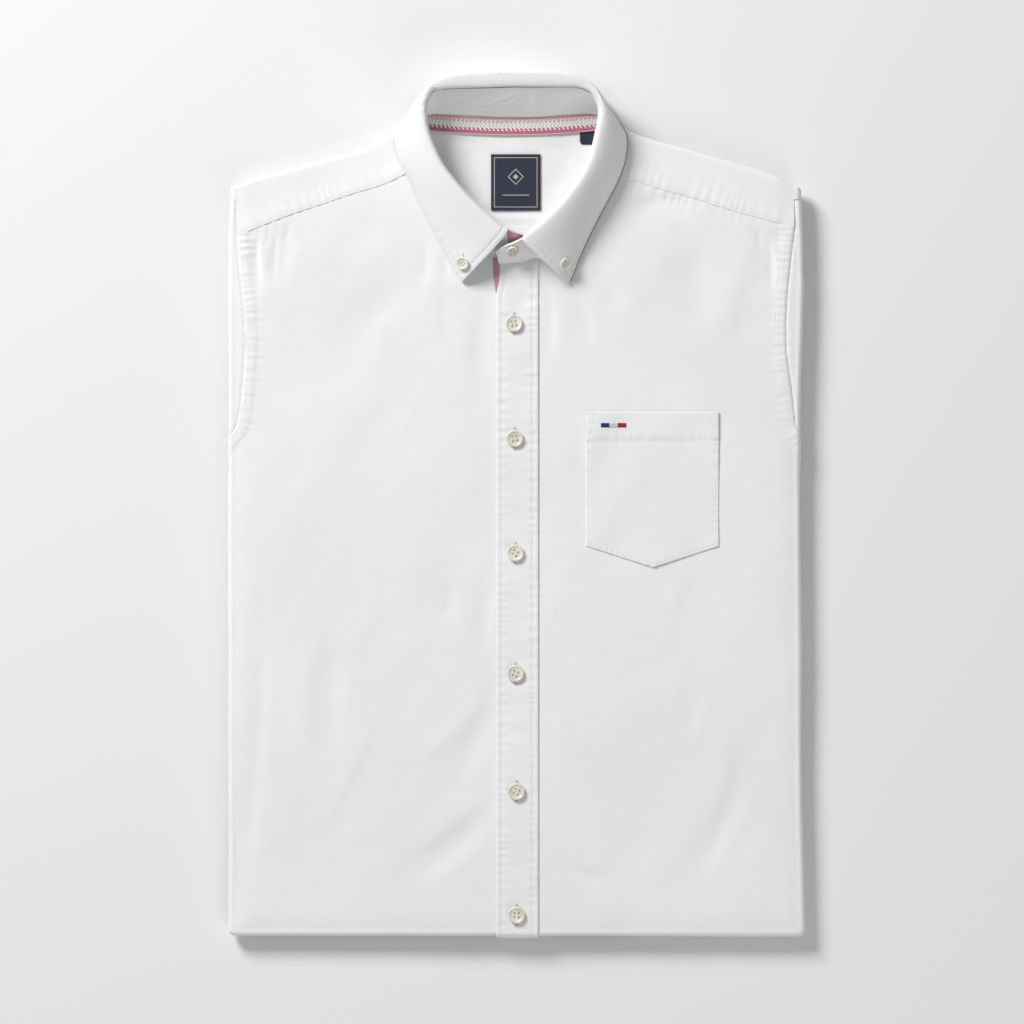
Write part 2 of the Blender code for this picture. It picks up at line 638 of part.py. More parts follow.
def pocket_point(u, v, rise):
    """A point of the pocket: u across from -1 to 1, v down from 0 at the hem's edge to 1."""
    x = POCKET_LEFT + (POCKET_RIGHT - POCKET_LEFT) * (u + 1) / 2
    if x < POCKET_TIP[0]:
        share = (x - POCKET_LEFT) / (POCKET_TIP[0] - POCKET_LEFT)
    else:
        share = (POCKET_RIGHT - x) / (POCKET_RIGHT - POCKET_TIP[0])
    low = POCKET_SIDE_BOTTOM + (POCKET_TIP[1] - POCKET_SIDE_BOTTOM) * share
    y = POCKET_TOP + (low - POCKET_TOP) * v
    return (x, y, top_height(x, y) + rise)


def build_pocket():
    """The pointed chest pocket, its hem band a little prouder, and the bar sewn to the hem."""
    hem = (POCKET_TOP - POCKET_HEM) / (POCKET_TOP - POCKET_SIDE_BOTTOM)
    tip_share = (POCKET_TIP[0] - POCKET_LEFT) / (POCKET_RIGHT - POCKET_LEFT) * 2 - 1
    across = [-1, -0.66, -0.33, tip_share, 0.33, 0.66, 1]
    rows = [(1.0, 0.0), (0.8, 0.0), (0.6, 0.0), (0.4, 0.0), (hem + 0.02, 0.0), (hem, 0.5),
            (0.1, 0.6), (0.0, 0.5)]
    points = [[pocket_point(u, v, LAYER_GAP + CLOTH + proud) for u in across]
              for v, proud in rows]
    cloth_sheet("pocket", points, CLOTH)
    flat_patch("flag_bar", (65.5, 85.0), (61.9, 65.6), (3, 1),
               lambda x, y: top_height(x, y) + LAYER_GAP + CLOTH + 0.6 + 1.35, 1.0, "flag")


def surface_under(item, x, y):
    """The place and outward direction of a solid's upper face below a point."""
    graph = bpy.context.evaluated_depsgraph_get()
    tree = BVHTree.FromObject(item, graph)
    place, normal, _, _ = tree.ray_cast(Vector((x, y, 100)) * MM, Vector((0, 0, -1)))
    return place, normal


def build_button(name, item, x, y, radius, height, lift):
    """A turned four-hole button that lies on a solid, tilted with its face."""
    place, normal = surface_under(item, x, y)
    profile = ((0.0, 0.0), (0.76, 0.0), (1.0, 0.5), (0.88, 1.0), (0.64, 0.74), (0.0, 0.72))
    turned = bmesh.new()
    previous = None
    for r, z in profile:
        vertex = turned.verts.new((r * radius * MM, 0, z * height * MM))
        if previous:
            turned.edges.new((previous, vertex))
        previous = vertex
    bmesh.ops.spin(turned, geom=turned.verts[:] + turned.edges[:], cent=(0, 0, 0),
                   axis=(0, 0, 1), angle=2 * math.pi, steps=BUTTON_SEGMENTS,
                   use_duplicate=False)
    bmesh.ops.remove_doubles(turned, verts=turned.verts, dist=1e-6)
    bmesh.ops.recalc_face_normals(turned, faces=turned.faces)
    mesh = bpy.data.meshes.new(name)
    turned.to_mesh(mesh)
    turned.free()
    turn = normal.to_track_quat("Z", "Y").to_matrix().to_4x4()
    spot = Matrix.Translation(place + normal * (lift * MM))
    button = new_object(name, mesh, "button")
    holes = bmesh.new()
    for sx in (-1, 1):
        for sy in (-1, 1):
            shift = Matrix.Translation((sx * HOLE_OFFSET * radius / BUTTON_RADIUS * MM,
                                        sy * HOLE_OFFSET * radius / BUTTON_RADIUS * MM,
                                        height * MM / 2))
            bmesh.ops.create_cone(holes, cap_ends=True, segments=6,
                                  radius1=HOLE_RADIUS * radius / BUTTON_RADIUS * MM,
                                  radius2=HOLE_RADIUS * radius / BUTTON_RADIUS * MM,
                                  depth=3 * height * MM, matrix=shift)
    holes_mesh = bpy.data.meshes.new(f"{name}_holes")
    holes.to_mesh(holes_mesh)
    holes.free()
    cutter = bpy.data.objects.new(f"{name}_holes", holes_mesh)
    cutter.hide_render = True
    cutter.display_type = "WIRE"
    bpy.data.collections["cutters"].objects.link(cutter)
    for part in (button, cutter):
        part.data.transform(spot @ turn)
    cut = button.modifiers.new("holes", "BOOLEAN")
    cut.object = cutter
    cut.operation = "DIFFERENCE"
    cut.solver = "EXACT"
    return button


def build_buttons(placket, stand, leaf):
    """The six front buttons, the stand's button and the two on the collar points."""
    for k, (x, y) in enumerate(PLACKET_BUTTONS, start=1):
        build_button(f"button_{k}", placket, x, y, BUTTON_RADIUS, BUTTON_HEIGHT, 0.35)
    build_button("button_stand", stand, *STAND_BUTTON, SMALL_BUTTON_RADIUS,
                 SMALL_BUTTON_HEIGHT, 0.6)
    for side, x, y in COLLAR_BUTTONS:
        build_button(f"button_collar_{side}", leaf, x, y, SMALL_BUTTON_RADIUS,
                     SMALL_BUTTON_HEIGHT, 0.5)


def main():
    """Builds every solid of the folded shirt."""
    remove_scene_objects()
    for name in (COLLECTION_NAME, "cutters"):
        group = bpy.data.collections.new(name)
        bpy.context.scene.collection.children.link(group)
    build_folded_layers()
    build_front("front_right", -1, ARMHOLE_RIGHT, YOKE_SEAM_RIGHT)
    build_front("front_left", 1, ARMHOLE_LEFT, YOKE_SEAM_LEFT)
    build_yoke()
    build_inner_yoke()
    build_sleeve("sleeve_right", -1, ARMHOLE_RIGHT)
    build_sleeve("sleeve_left", 1, ARMHOLE_LEFT)
    placket = build_placket()
    build_button_band()
    stand = build_stand()
    leaf = build_leaf()
    build_neck_trims()
    build_pocket()
    build_buttons(placket, stand, leaf)
    for item in bpy.data.objects:
        item.data.transform(Matrix.Translation(Vector(FRAME_SHIFT) * MM))


main()
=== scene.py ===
"""Folded dress shirt, lying face up: cloth, stitching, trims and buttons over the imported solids."""

import logging
import math
from dataclasses import dataclass, field
from enum import Enum
from functools import cached_property

import bmesh
import bpy
import numpy as np
from mathutils import Matrix, Vector


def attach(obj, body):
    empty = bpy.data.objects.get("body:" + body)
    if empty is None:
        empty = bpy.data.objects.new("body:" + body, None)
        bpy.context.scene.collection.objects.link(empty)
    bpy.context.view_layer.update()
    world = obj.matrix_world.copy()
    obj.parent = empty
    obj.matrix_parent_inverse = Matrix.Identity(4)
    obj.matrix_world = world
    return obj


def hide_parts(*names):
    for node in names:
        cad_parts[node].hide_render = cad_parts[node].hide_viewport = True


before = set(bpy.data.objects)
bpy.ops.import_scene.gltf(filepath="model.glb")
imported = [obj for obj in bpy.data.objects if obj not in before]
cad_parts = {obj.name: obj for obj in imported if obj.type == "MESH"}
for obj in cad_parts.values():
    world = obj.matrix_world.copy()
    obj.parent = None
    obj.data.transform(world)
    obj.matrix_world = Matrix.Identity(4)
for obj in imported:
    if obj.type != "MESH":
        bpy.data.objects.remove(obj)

LOG = logging.getLogger("folded_shirt")
MM = 0.001
PER_METRE = 1000.0
Table = tuple[tuple[float, ...], ...]
Array = np.ndarray

# Moves the outline's middle onto the origin, in millimetres.
FRAME_SHIFT = np.array([0.45, -0.66, 0.0])

# How many steps the random values run before they repeat.
LATTICE = 61

# How deep the turned-down edges of a shown sheet are, in millimetres.
RIM = 0.75


class Held(Enum):
    """How a sheet of cloth lies."""

    FOLDED = "folded"
    LAID = "laid"


class Slot(Enum):
    """Names for material slots, passed to the trims but not used."""

    CLOTH = "shirt_cloth"
    TAPE = "contrast_tape"
    LABEL = "woven_label"
    FLAG = "flag_stitch"
    BUTTON = "button"


def table_at(table: Table, value: Array | float) -> Array:
    """Looks a value up in a two-column table.

    Args:
        table: Rows of place and value, in rising order of place.
        value: Where to look, one number or an array.

    Returns:
        The straight-line value between the table's rows.
    """
    return np.interp(value, [row[0] for row in table], [row[1] for row in table])


def soft_table_at(table: Table, value: Array | float, reach: float = 5.0) -> Array:
    """Looks a value up in a two-column table with its corners rounded off.

    Args:
        table: Rows of place and value, in rising order of place.
        value: Where to look, one number or an array.
        reach: How far from each corner the rounding starts.

    Returns:
        The rounded value.
    """
    weights = {-1.0: 1, -0.5: 2, 0.0: 2, 0.5: 2, 1.0: 1}
    return sum(share * table_at(table, np.asarray(value) + shift * reach)
               for shift, share in weights.items()) / sum(weights.values())


def smoothstep(value: Array | float) -> Array:
    """Eases a value from 0 to 1 with level ends.

    Args:
        value: One number or an array.

    Returns:
        The eased value, 0 below 0 and 1 above 1.
    """
    t = np.clip(value, 0.0, 1.0)
    return t * t * (3 - 2 * t)


def smooth_path(rows: Array, count: int) -> Array:
    """Follows a Catmull-Rom curve through a table's rows.

    Args:
        rows: The table, one station a row.
        count: How many points to return.

    Returns:
        An array of count rows, evenly spaced by station.
    """
    rows = np.asarray(rows, float)
    padded = np.vstack([2 * rows[0] - rows[1], rows, 2 * rows[-1] - rows[-2]])
    at = np.linspace(0, len(rows) - 1, count)
    k = np.minimum(at.astype(int), len(rows) - 2)
    t = (at - k)[:, None]
    p0, p1, p2, p3 = padded[k], padded[k + 1], padded[k + 2], padded[k + 3]
    return 0.5 * (2 * p1 + (p2 - p0) * t + (2 * p0 - 5 * p1 + 4 * p2 - p3) * t**2
                  + (3 * p1 - p0 - 3 * p2 + p3) * t**3)


@dataclass(frozen=True)
class SoftNoise:
    """Smooth seeded unevenness over a plane.

    Attributes:
        seed: Picks the pattern.
        pitch: Distance between its random values, in millimetres.
    """

    seed: int
    pitch: float

    @cached_property
    def lattice(self) -> Array:
        """The random values."""
        return np.random.default_rng(self.seed).uniform(-1, 1, (LATTICE, LATTICE))

    def at(self, x: Array, y: Array | float = 0.0) -> Array:
        """Reads the pattern.

        Args:
            x: Places across, in millimetres.
            y: Places along, in millimetres.

        Returns:
            Values from -1 to 1.
        """
        gx, gy = np.broadcast_arrays(np.asarray(x, float) / self.pitch,
                                     np.asarray(y, float) / self.pitch)
        ix = np.floor(gx).astype(int)
        iy = np.floor(gy).astype(int)
        fx = smoothstep(gx - ix)
        fy = smoothstep(gy - iy)
        low = self._read(ix, iy) * (1 - fx) + self._read(ix + 1, iy) * fx
        high = self._read(ix, iy + 1) * (1 - fx) + self._read(ix + 1, iy + 1) * fx
        return low * (1 - fy) + high * fy

    def _read(self, ix: Array, iy: Array) -> Array:
        """The lattice's values at whole steps."""
        return self.lattice[ix % LATTICE, iy % LATTICE]


@dataclass(frozen=True)
class SeamLine:
    """A line on the cloth from which distances are measured.

    Attributes:
        path: Its points, x and y in millimetres.
    """

    path: Table

    def locate(self, x: Array, y: Array) -> tuple[Array, Array]:
        """Measures places against the line.

        Args:
            x: Places across, in millimetres.
            y: Places along, in millimetres.

        Returns:
            The distance to the line, positive on its left, and how far along it that is.
        """
        best = np.full(np.shape(x), np.inf)
        side = np.ones(np.shape(x))
        along = np.zeros(np.shape(x))
        walked = 0.0
        for (x0, y0), (x1, y1) in zip(self.path, self.path[1:]):
            length = math.hypot(x1 - x0, y1 - y0)
            ux, uy = (x1 - x0) / length, (y1 - y0) / length
            t = np.clip((x - x0) * ux + (y - y0) * uy, 0, length)
            dx, dy = x - x0 - ux * t, y - y0 - uy * t
            distance = np.hypot(dx, dy)
            nearer = distance < best
            best = np.where(nearer, distance, best)
            side = np.where(nearer, np.where(ux * dy - uy * dx >= 0, 1.0, -1.0), side)
            along = np.where(nearer, walked + t, along)
            walked += length
        return best * side, along

    @property
    def length(self) -> float:
        """The line's length in millimetres."""
        return sum(math.hypot(b[0] - a[0], b[1] - a[1])
                   for a, b in zip(self.path, self.path[1:]))


@dataclass(frozen=True)
class Crease:
    """A soft trough or ridge, placed one by one.

    Attributes:
        path: Its line over the cloth, in millimetres.
        height: How far it stands out, negative for a trough.
        width: Half its width.
        lean: How much steeper its left side is than its right.
        taper: The share of its length over which each end fades.
        end_share: How much of its height is left at its ends.
        rebound: How much the cloth swings the other way beside it.
    """

    path: Table
    height: float
    width: float
    lean: float = 0.25
    taper: float = 0.4
    end_share: float = 0.12
    rebound: float = 0.35

    def relief(self, x: Array, y: Array) -> Array:
        """Works out the crease's share of the cloth's height.

        Args:
            x: Places across, in millimetres.
            y: Places along, in millimetres.

        Returns:
            Heights in millimetres.
        """
        path = smooth_path(self.path, 14)
        margin = 3.5 * self.width
        middle = (path.min(axis=0) + path.max(axis=0)) / 2
        half = np.ptp(path, axis=0) / 2 + margin
        near = (np.abs(x - middle[0]) < half[0]) & (np.abs(y - middle[1]) < half[1])
        line = SeamLine(tuple(map(tuple, path)))
        distance, along = line.locate(x[near], y[near])
        width = self.width * np.where(distance > 0, 1 - self.lean, 1 + self.lean)
        fade = self.taper * line.length
        ends = smoothstep(along / fade) * smoothstep((line.length - along) / fade)
        kept = self.end_share + (1 - self.end_share) * ends
        past = (distance / width) ** 2
        relief = np.zeros(np.shape(x))
        relief[near] = self.height * kept * np.exp(-past) * (1 - self.rebound * past)
        return relief


def pucker_wave(along: Array, pitch: float, seed: int) -> Array:
    """Uneven waves of cloth along a stitched line.

    Args:
        along: Distances along the line, in millimetres.
        pitch: Mean distance between waves.
        seed: Picks their pattern.

    Returns:
        Values from -1 to 1.
    """
    drift = SoftNoise(seed, 2.6 * pitch).at(along)
    strength = 0.72 + 0.42 * SoftNoise(seed + 7, 2.9 * pitch).at(along)
    small = 0.35 * SoftNoise(seed + 3, 0.8 * pitch).at(along)
    return strength * np.sin(2 * math.pi * (along / pitch + drift)) + small


@dataclass(frozen=True)
class PuckerRow:
    """A stitched line that pulls the cloth into a groove with small puckers beside it.

    Attributes:
        path: The line, in millimetres.
        groove: Depth of the stitched groove.
        pucker: Height of the puckers.
        pitch: Distance between puckers.
        reach: How far the puckers spread from the line.
        seed: Picks their pattern.
    """

    path: Table
    groove: float
    pucker: float
    pitch: float
    reach: float
    seed: int

    def relief(self, x: Array, y: Array) -> Array:
        """Works out the row's share of the cloth's height.

        Args:
            x: Places across, in millimetres.
            y: Places along, in millimetres.

        Returns:
            Heights in millimetres.
        """
        distance, along = SeamLine(self.path).locate(x, y)
        spread = np.exp(-(distance / self.reach) ** 2)
        groove = -self.groove * np.exp(-(distance / 0.8) ** 2)
        return groove + self.pucker * pucker_wave(along, self.pitch, self.seed) * spread


# How high the top of the stack is at each place along it: y, z.
TOP_HEIGHT = ((-335, 15.5), (-250, 16.2), (-100, 17.0), (50, 17.8), (170, 18.6), (320, 18.6))

# The side outlines: y, distance from the middle.
SIDE_RIGHT = ((-335, 225.4), (212, 225.4), (240, 223.9), (330, 223.5))
SIDE_LEFT = ((-335, 224.8), (-224, 222.7), (-10, 221.5), (68, 220.8), (93, 221.4), (175, 223.9),
             (213, 223.1), (240, 221.5), (330, 221.0))

# The top outline, over the shoulders and behind the neck: x, y.
TOP_OUTLINE = ((-226, 250.5), (-218, 251.5), (-210.6, 255.8), (-175.5, 264.4), (-137.3, 275.3),
               (-118.6, 279.2), (-96, 292.5), (-88, 298), (-80, 304.5), (-70, 309.5), (-50, 312.5),
               (0, 313), (44, 312.5), (62, 309.5), (72, 304.5), (80, 298), (88, 292.5),
               (109.2, 285.9), (144.3, 276.4), (175.5, 266.8), (204.4, 257.4), (216, 250.5),
               (226, 249))

# The armhole seams, as a place along and a distance across the unrolled sheet.
ARMHOLE_RIGHT = ((44, 234.3), (52, 228.5), (58, 222.5), (63.2, 218.8), (79, 215.6), (103, 213.2),
                 (134.7, 211.6), (158.6, 213.2), (184.1, 216.4), (211.9, 218.6), (240, 218.8))
ARMHOLE_LEFT = ((44, 229.7), (52, 224.5), (58, 220.5), (63.2, 217.5), (82.2, 215.4), (103, 212.5),
                (122, 210.1), (142.7, 209.6), (166.5, 210.8), (190.4, 213.3), (219, 216.4),
                (240, 216.6))

# The front yoke seams, from the armhole to the neck: x, y.
YOKE_SEAM_RIGHT = ((-218.6, 211.9), (-201.2, 219.2), (-177.4, 228.6), (-150.3, 237.4),
                   (-124.8, 246.2), (-104.1, 251.7), (-87.4, 260.5), (-79.2, 264.8))
YOKE_SEAM_LEFT = ((71.3, 261.2), (83.5, 257.4), (97.8, 253.3), (112.2, 248.5), (136, 242.2),
                  (159.9, 234.2), (185.4, 227), (206.7, 221.5), (216.4, 219.0))

# Stations round the collar, from its right point round the back to its left point. A row is
# neck x, y, then fold x, y, z, then how far in and down the leaf starts, then edge x, y, z.
# An edge z of 0 stands for an edge that rests on the cloth.
COLLAR = (
    (-12.0, 195.8, -7.5, 213.7, 44.0, 2.0, 2.4, -42.9, 175.1, 0),
    (-18.0, 198.5, -14.2, 217.0, 44.5, 2.4, 3.0, -48.0, 183.2, 0),
    (-32.0, 207.5, -23.6, 225.1, 45.0, 3.0, 3.6, -55.8, 196.9, 0),
    (-46.0, 220.0, -37.0, 237.2, 45.3, 3.0, 3.6, -66.5, 217.0, 0),
    (-60.0, 235.5, -49.1, 250.6, 45.5, 3.0, 3.6, -76.0, 237.1, 0),
    (-72.0, 251.0, -60.1, 265.4, 45.5, 3.0, 3.6, -84.5, 255.5, 0),
    (-80.0, 266.0, -67.9, 281.6, 45.5, 3.0, 3.6, -91.5, 269.5, 0),
    (-84.0, 281.0, -71.9, 294.9, 45.5, 3.0, 3.6, -94.8, 283.5, 21.4),
    (-83.3, 293.0, -73.3, 307.0, 45.5, 3.0, 3.6, -92.9, 293.0, 20.6),
    (-80.0, 299.5, -72.6, 315.5, 45.5, 3.2, 3.6, -87.0, 303.5, 16.5),
    (-76.0, 303.6, -67.9, 325.8, 45.6, 4.0, 3.5, -77.5, 316.0, 11.0),
    (-66.0, 306.8, -61.0, 330.5, 45.8, 7.0, 3.4, -66.0, 324.5, 7.5),
    (-56.0, 307.0, -53.1, 333.9, 46.0, 9.0, 3.4, -55.0, 328.5, 5.5),
    (-42.0, 306.3, -39.8, 335.9, 46.0, 10.5, 3.4, -40.0, 330.8, 4.5),
    (-20.0, 305.0, -20.0, 336.8, 46.0, 11.0, 3.4, -20.0, 331.8, 4.0),
    (0.0, 304.8, -3.4, 337.3, 46.0, 11.0, 3.4, -3.0, 332.0, 4.0),
    (18.0, 305.0, 14.0, 337.3, 46.0, 11.0, 3.4, 14.0, 332.0, 4.0),
    (36.0, 306.3, 32.0, 336.9, 46.0, 10.5, 3.4, 33.0, 331.3, 4.3),
    (50.0, 307.0, 46.0, 335.0, 46.0, 9.0, 3.4, 48.0, 329.4, 5.5),
    (60.0, 306.5, 55.0, 330.6, 45.8, 7.0, 3.4, 58.5, 325.5, 7.5),
    (68.5, 303.4, 61.6, 323.8, 45.6, 4.5, 3.5, 67.8, 317.5, 11.0),
    (73.5, 297.5, 65.9, 314.5, 45.5, 3.2, 3.6, 74.8, 305.0, 16.5),
    (76.3, 288.0, 66.4, 304.4, 45.5, 3.0, 3.6, 83.9, 293.3, 20.6),
    (76.0, 279.0, 63.9, 290.5, 45.5, 3.0, 3.6, 85.9, 282.5, 21.4),
    (73.0, 266.0, 59.7, 273.5, 45.5, 3.0, 3.6, 83.6, 267.5, 0),
    (66.0, 251.0, 53.0, 258.6, 45.5, 3.0, 3.6, 77.5, 252.3, 0),
    (55.0, 235.0, 44.9, 246.6, 45.5, 3.0, 3.6, 68.5, 235.2, 0),
    (42.0, 219.5, 34.2, 233.2, 45.3, 3.0, 3.6, 58.2, 215.5, 0),
    (29.0, 206.0, 20.7, 219.7, 45.0, 3.0, 3.6, 48.9, 195.4, 0),
    (17.0, 196.4, 8.5, 210.0, 44.5, 2.4, 3.0, 43.0, 180.0, 0),
    (12.0, 194.2, 4.6, 206.9, 44.0, 2.0, 2.4, 39.4, 173.9, 0),
)

# The stand's ends beyond the leaf: neck x, neck y, top x, top y, top z.
STAND_UNDER_END = ((12.0, 198.8, 5.0, 211.4, 36.5), (0.5, 197.0, -1.5, 213.2, 40.4))
STAND_OVER_END = ((3.0, 191.6, -3.0, 205.4, 40.4), (-7.5, 190.6, -11.5, 202.2, 38.2),
                  (-14.2, 190.4, -16.4, 199.4, 33.5))

# The placket's edges, its upper end and how far in its stitching runs.
PLACKET_LEFT = -16.4
PLACKET_RIGHT = 16.8
PLACKET_TOP = 189.0
PLACKET_STITCH = 4.7

# The pocket's edges, the lower line of its hem, its side corners and its point.
POCKET_LEFT = 53.9
POCKET_RIGHT = 157.4
POCKET_TOP = 74.3
POCKET_HEM = 52.5
POCKET_SIDE_BOTTOM = -30.6
POCKET_TIP = (106.1, -47.2)

# The middles of the buttons.
PLACKET_BUTTONS = ((-2.4, 143.1), (-1.8, 53.4), (-1.3, -35.9), (-1.2, -129.9), (-0.4, -221.9),
                   (-0.4, -318.2))
STAND_BUTTON = (-3.4, 199.6)
COLLAR_BUTTONS = (("right", -41.7, 190.2), ("left", 37.4, 189.5))

# The folds over the fronts: troughs are negative, ridges positive.
CREASES = (
    Crease(((-201, 219), (-203.6, 198.4), (-202, 158.6)), -0.8, 6.1),
    Crease(((-177.4, 222.3), (-183.8, 187.2), (-185.3, 166.5)), -1.0, 10.1),
    Crease(((-75.7, 182.5), (-112.3, 150.5), (-128, 126.8), (-140.8, 103)), -1.4, 20.2),
    Crease(((-198.9, -46.5), (-198.9, -111.5), (-201.2, -159.9), (-209.5, -255.8),
            (-216, -309.7), (-223.4, -330.7)), -1.0, 10.5),
    Crease(((-164.6, -96), (-164.6, -203)), 0.9, 14.9),
    Crease(((-142, -91), (-145, -203)), -0.8, 12.2),
    Crease(((-111.4, -162.7), (-136.9, -221.9), (-162, -262.6)), 0.32, 8.0),
    Crease(((-51.5, -53), (-55.4, -95.9)), -0.8, 10.8),
    Crease(((-23.4, -59.3), (-25.7, -112.8)), -0.9, 7.4),
    Crease(((-22, -122.5), (-44.8, -172), (-92.2, -204.2)), 0.62, 11.5),
    Crease(((-23.4, -159.9), (-36.3, -191.9), (-51.5, -215.3)), -0.65, 11.0),
    Crease(((-18.3, -229.9), (-45, -260.7), (-92.9, -300.1)), -1.3, 14.0),
    Crease(((-17.3, -218.9), (-84.6, -272.5)), 0.75, 12.0),
    Crease(((-144, 219), (-99, 216)), -0.45, 12.2),
    Crease(((185.4, 225.4), (191.8, 209.5), (196.6, 187.2), (199.7, 161.8)), -0.9, 8.1),
    Crease(((202.8, 219.2), (205.9, 200)), -0.8, 6.1),
    Crease(((135.7, 206.7), (140.9, 166.5), (148.8, 139.6)), -1.2, 17.6),
    Crease(((182.2, 212.9), (166.1, 158.6), (163, 110.8)), 0.9, 14.9),
    Crease(((80.3, 231.7), (112.3, 238.2), (143.5, 236.6)), -0.9, 8.8),
    Crease(((143.2, -128.5), (131.9, -187)), -0.6, 9.5),
    Crease(((160.7, -167), (160.7, -213.3), (143.8, -255.5)), 0.55, 10.8),
    Crease(((178.2, -208.9), (152.1, -266.8), (130.2, -291.6)), -0.9, 10.8),
    Crease(((136.7, -48), (113.8, -84.1)), 0.45, 10.8),
    Crease(((-24, 166), (-27.5, 130), (-25, 92)), -0.9, 9.5),
    Crease(((-37, 156), (-42, 112), (-44, 66)), 0.4, 12.2),
    Crease(((23.5, 172), (26.5, 146), (24, 116)), -0.8, 6.8),
    Crease(((30, 166), (35, 140), (36, 104)), 0.4, 10.8),
    Crease(((-201.5, 218), (-202.5, 196), (-200, 170)), -0.8, 2.8),
    Crease(((-193, 221), (-195, 200)), -0.5, 2.5),
    Crease(((-186.5, 223), (-189, 196), (-190, 172)), -0.6, 3.2),
    Crease(((-177, 226), (-180, 204)), -0.45, 2.8),
    Crease(((-73, 213), (-71, 190), (-76, 168)), -0.8, 6.8),
    Crease(((-58, 199), (-53, 176)), -0.7, 3.8),
    Crease(((-62, 176), (-66, 148), (-62, 122)), 0.5, 9.5),
    Crease(((41, 168), (52, 150), (57, 120)), -0.7, 8.1),
    Crease(((58, 186), (74, 170), (84, 150)), -0.8, 8.8),
    Crease(((52, 196), (66, 186)), 0.5, 5.4),
    Crease(((196, 214), (199, 192), (198, 166)), -0.6, 2.8),
    Crease(((188, 218), (190, 200)), -0.45, 2.6),
    Crease(((22, -262), (48, -284), (84, -296)), -0.9, 8.1),
    Crease(((24, -150), (40, -178), (66, -196)), 0.6, 8.8),
)

# The cloth's slow unevenness: its patterns and how high each stands, in millimetres.
UNEVENNESS = ((SoftNoise(11, 58.0), 0.62), (SoftNoise(23, 24.0), 0.22), (SoftNoise(37, 9.5), 0.05))


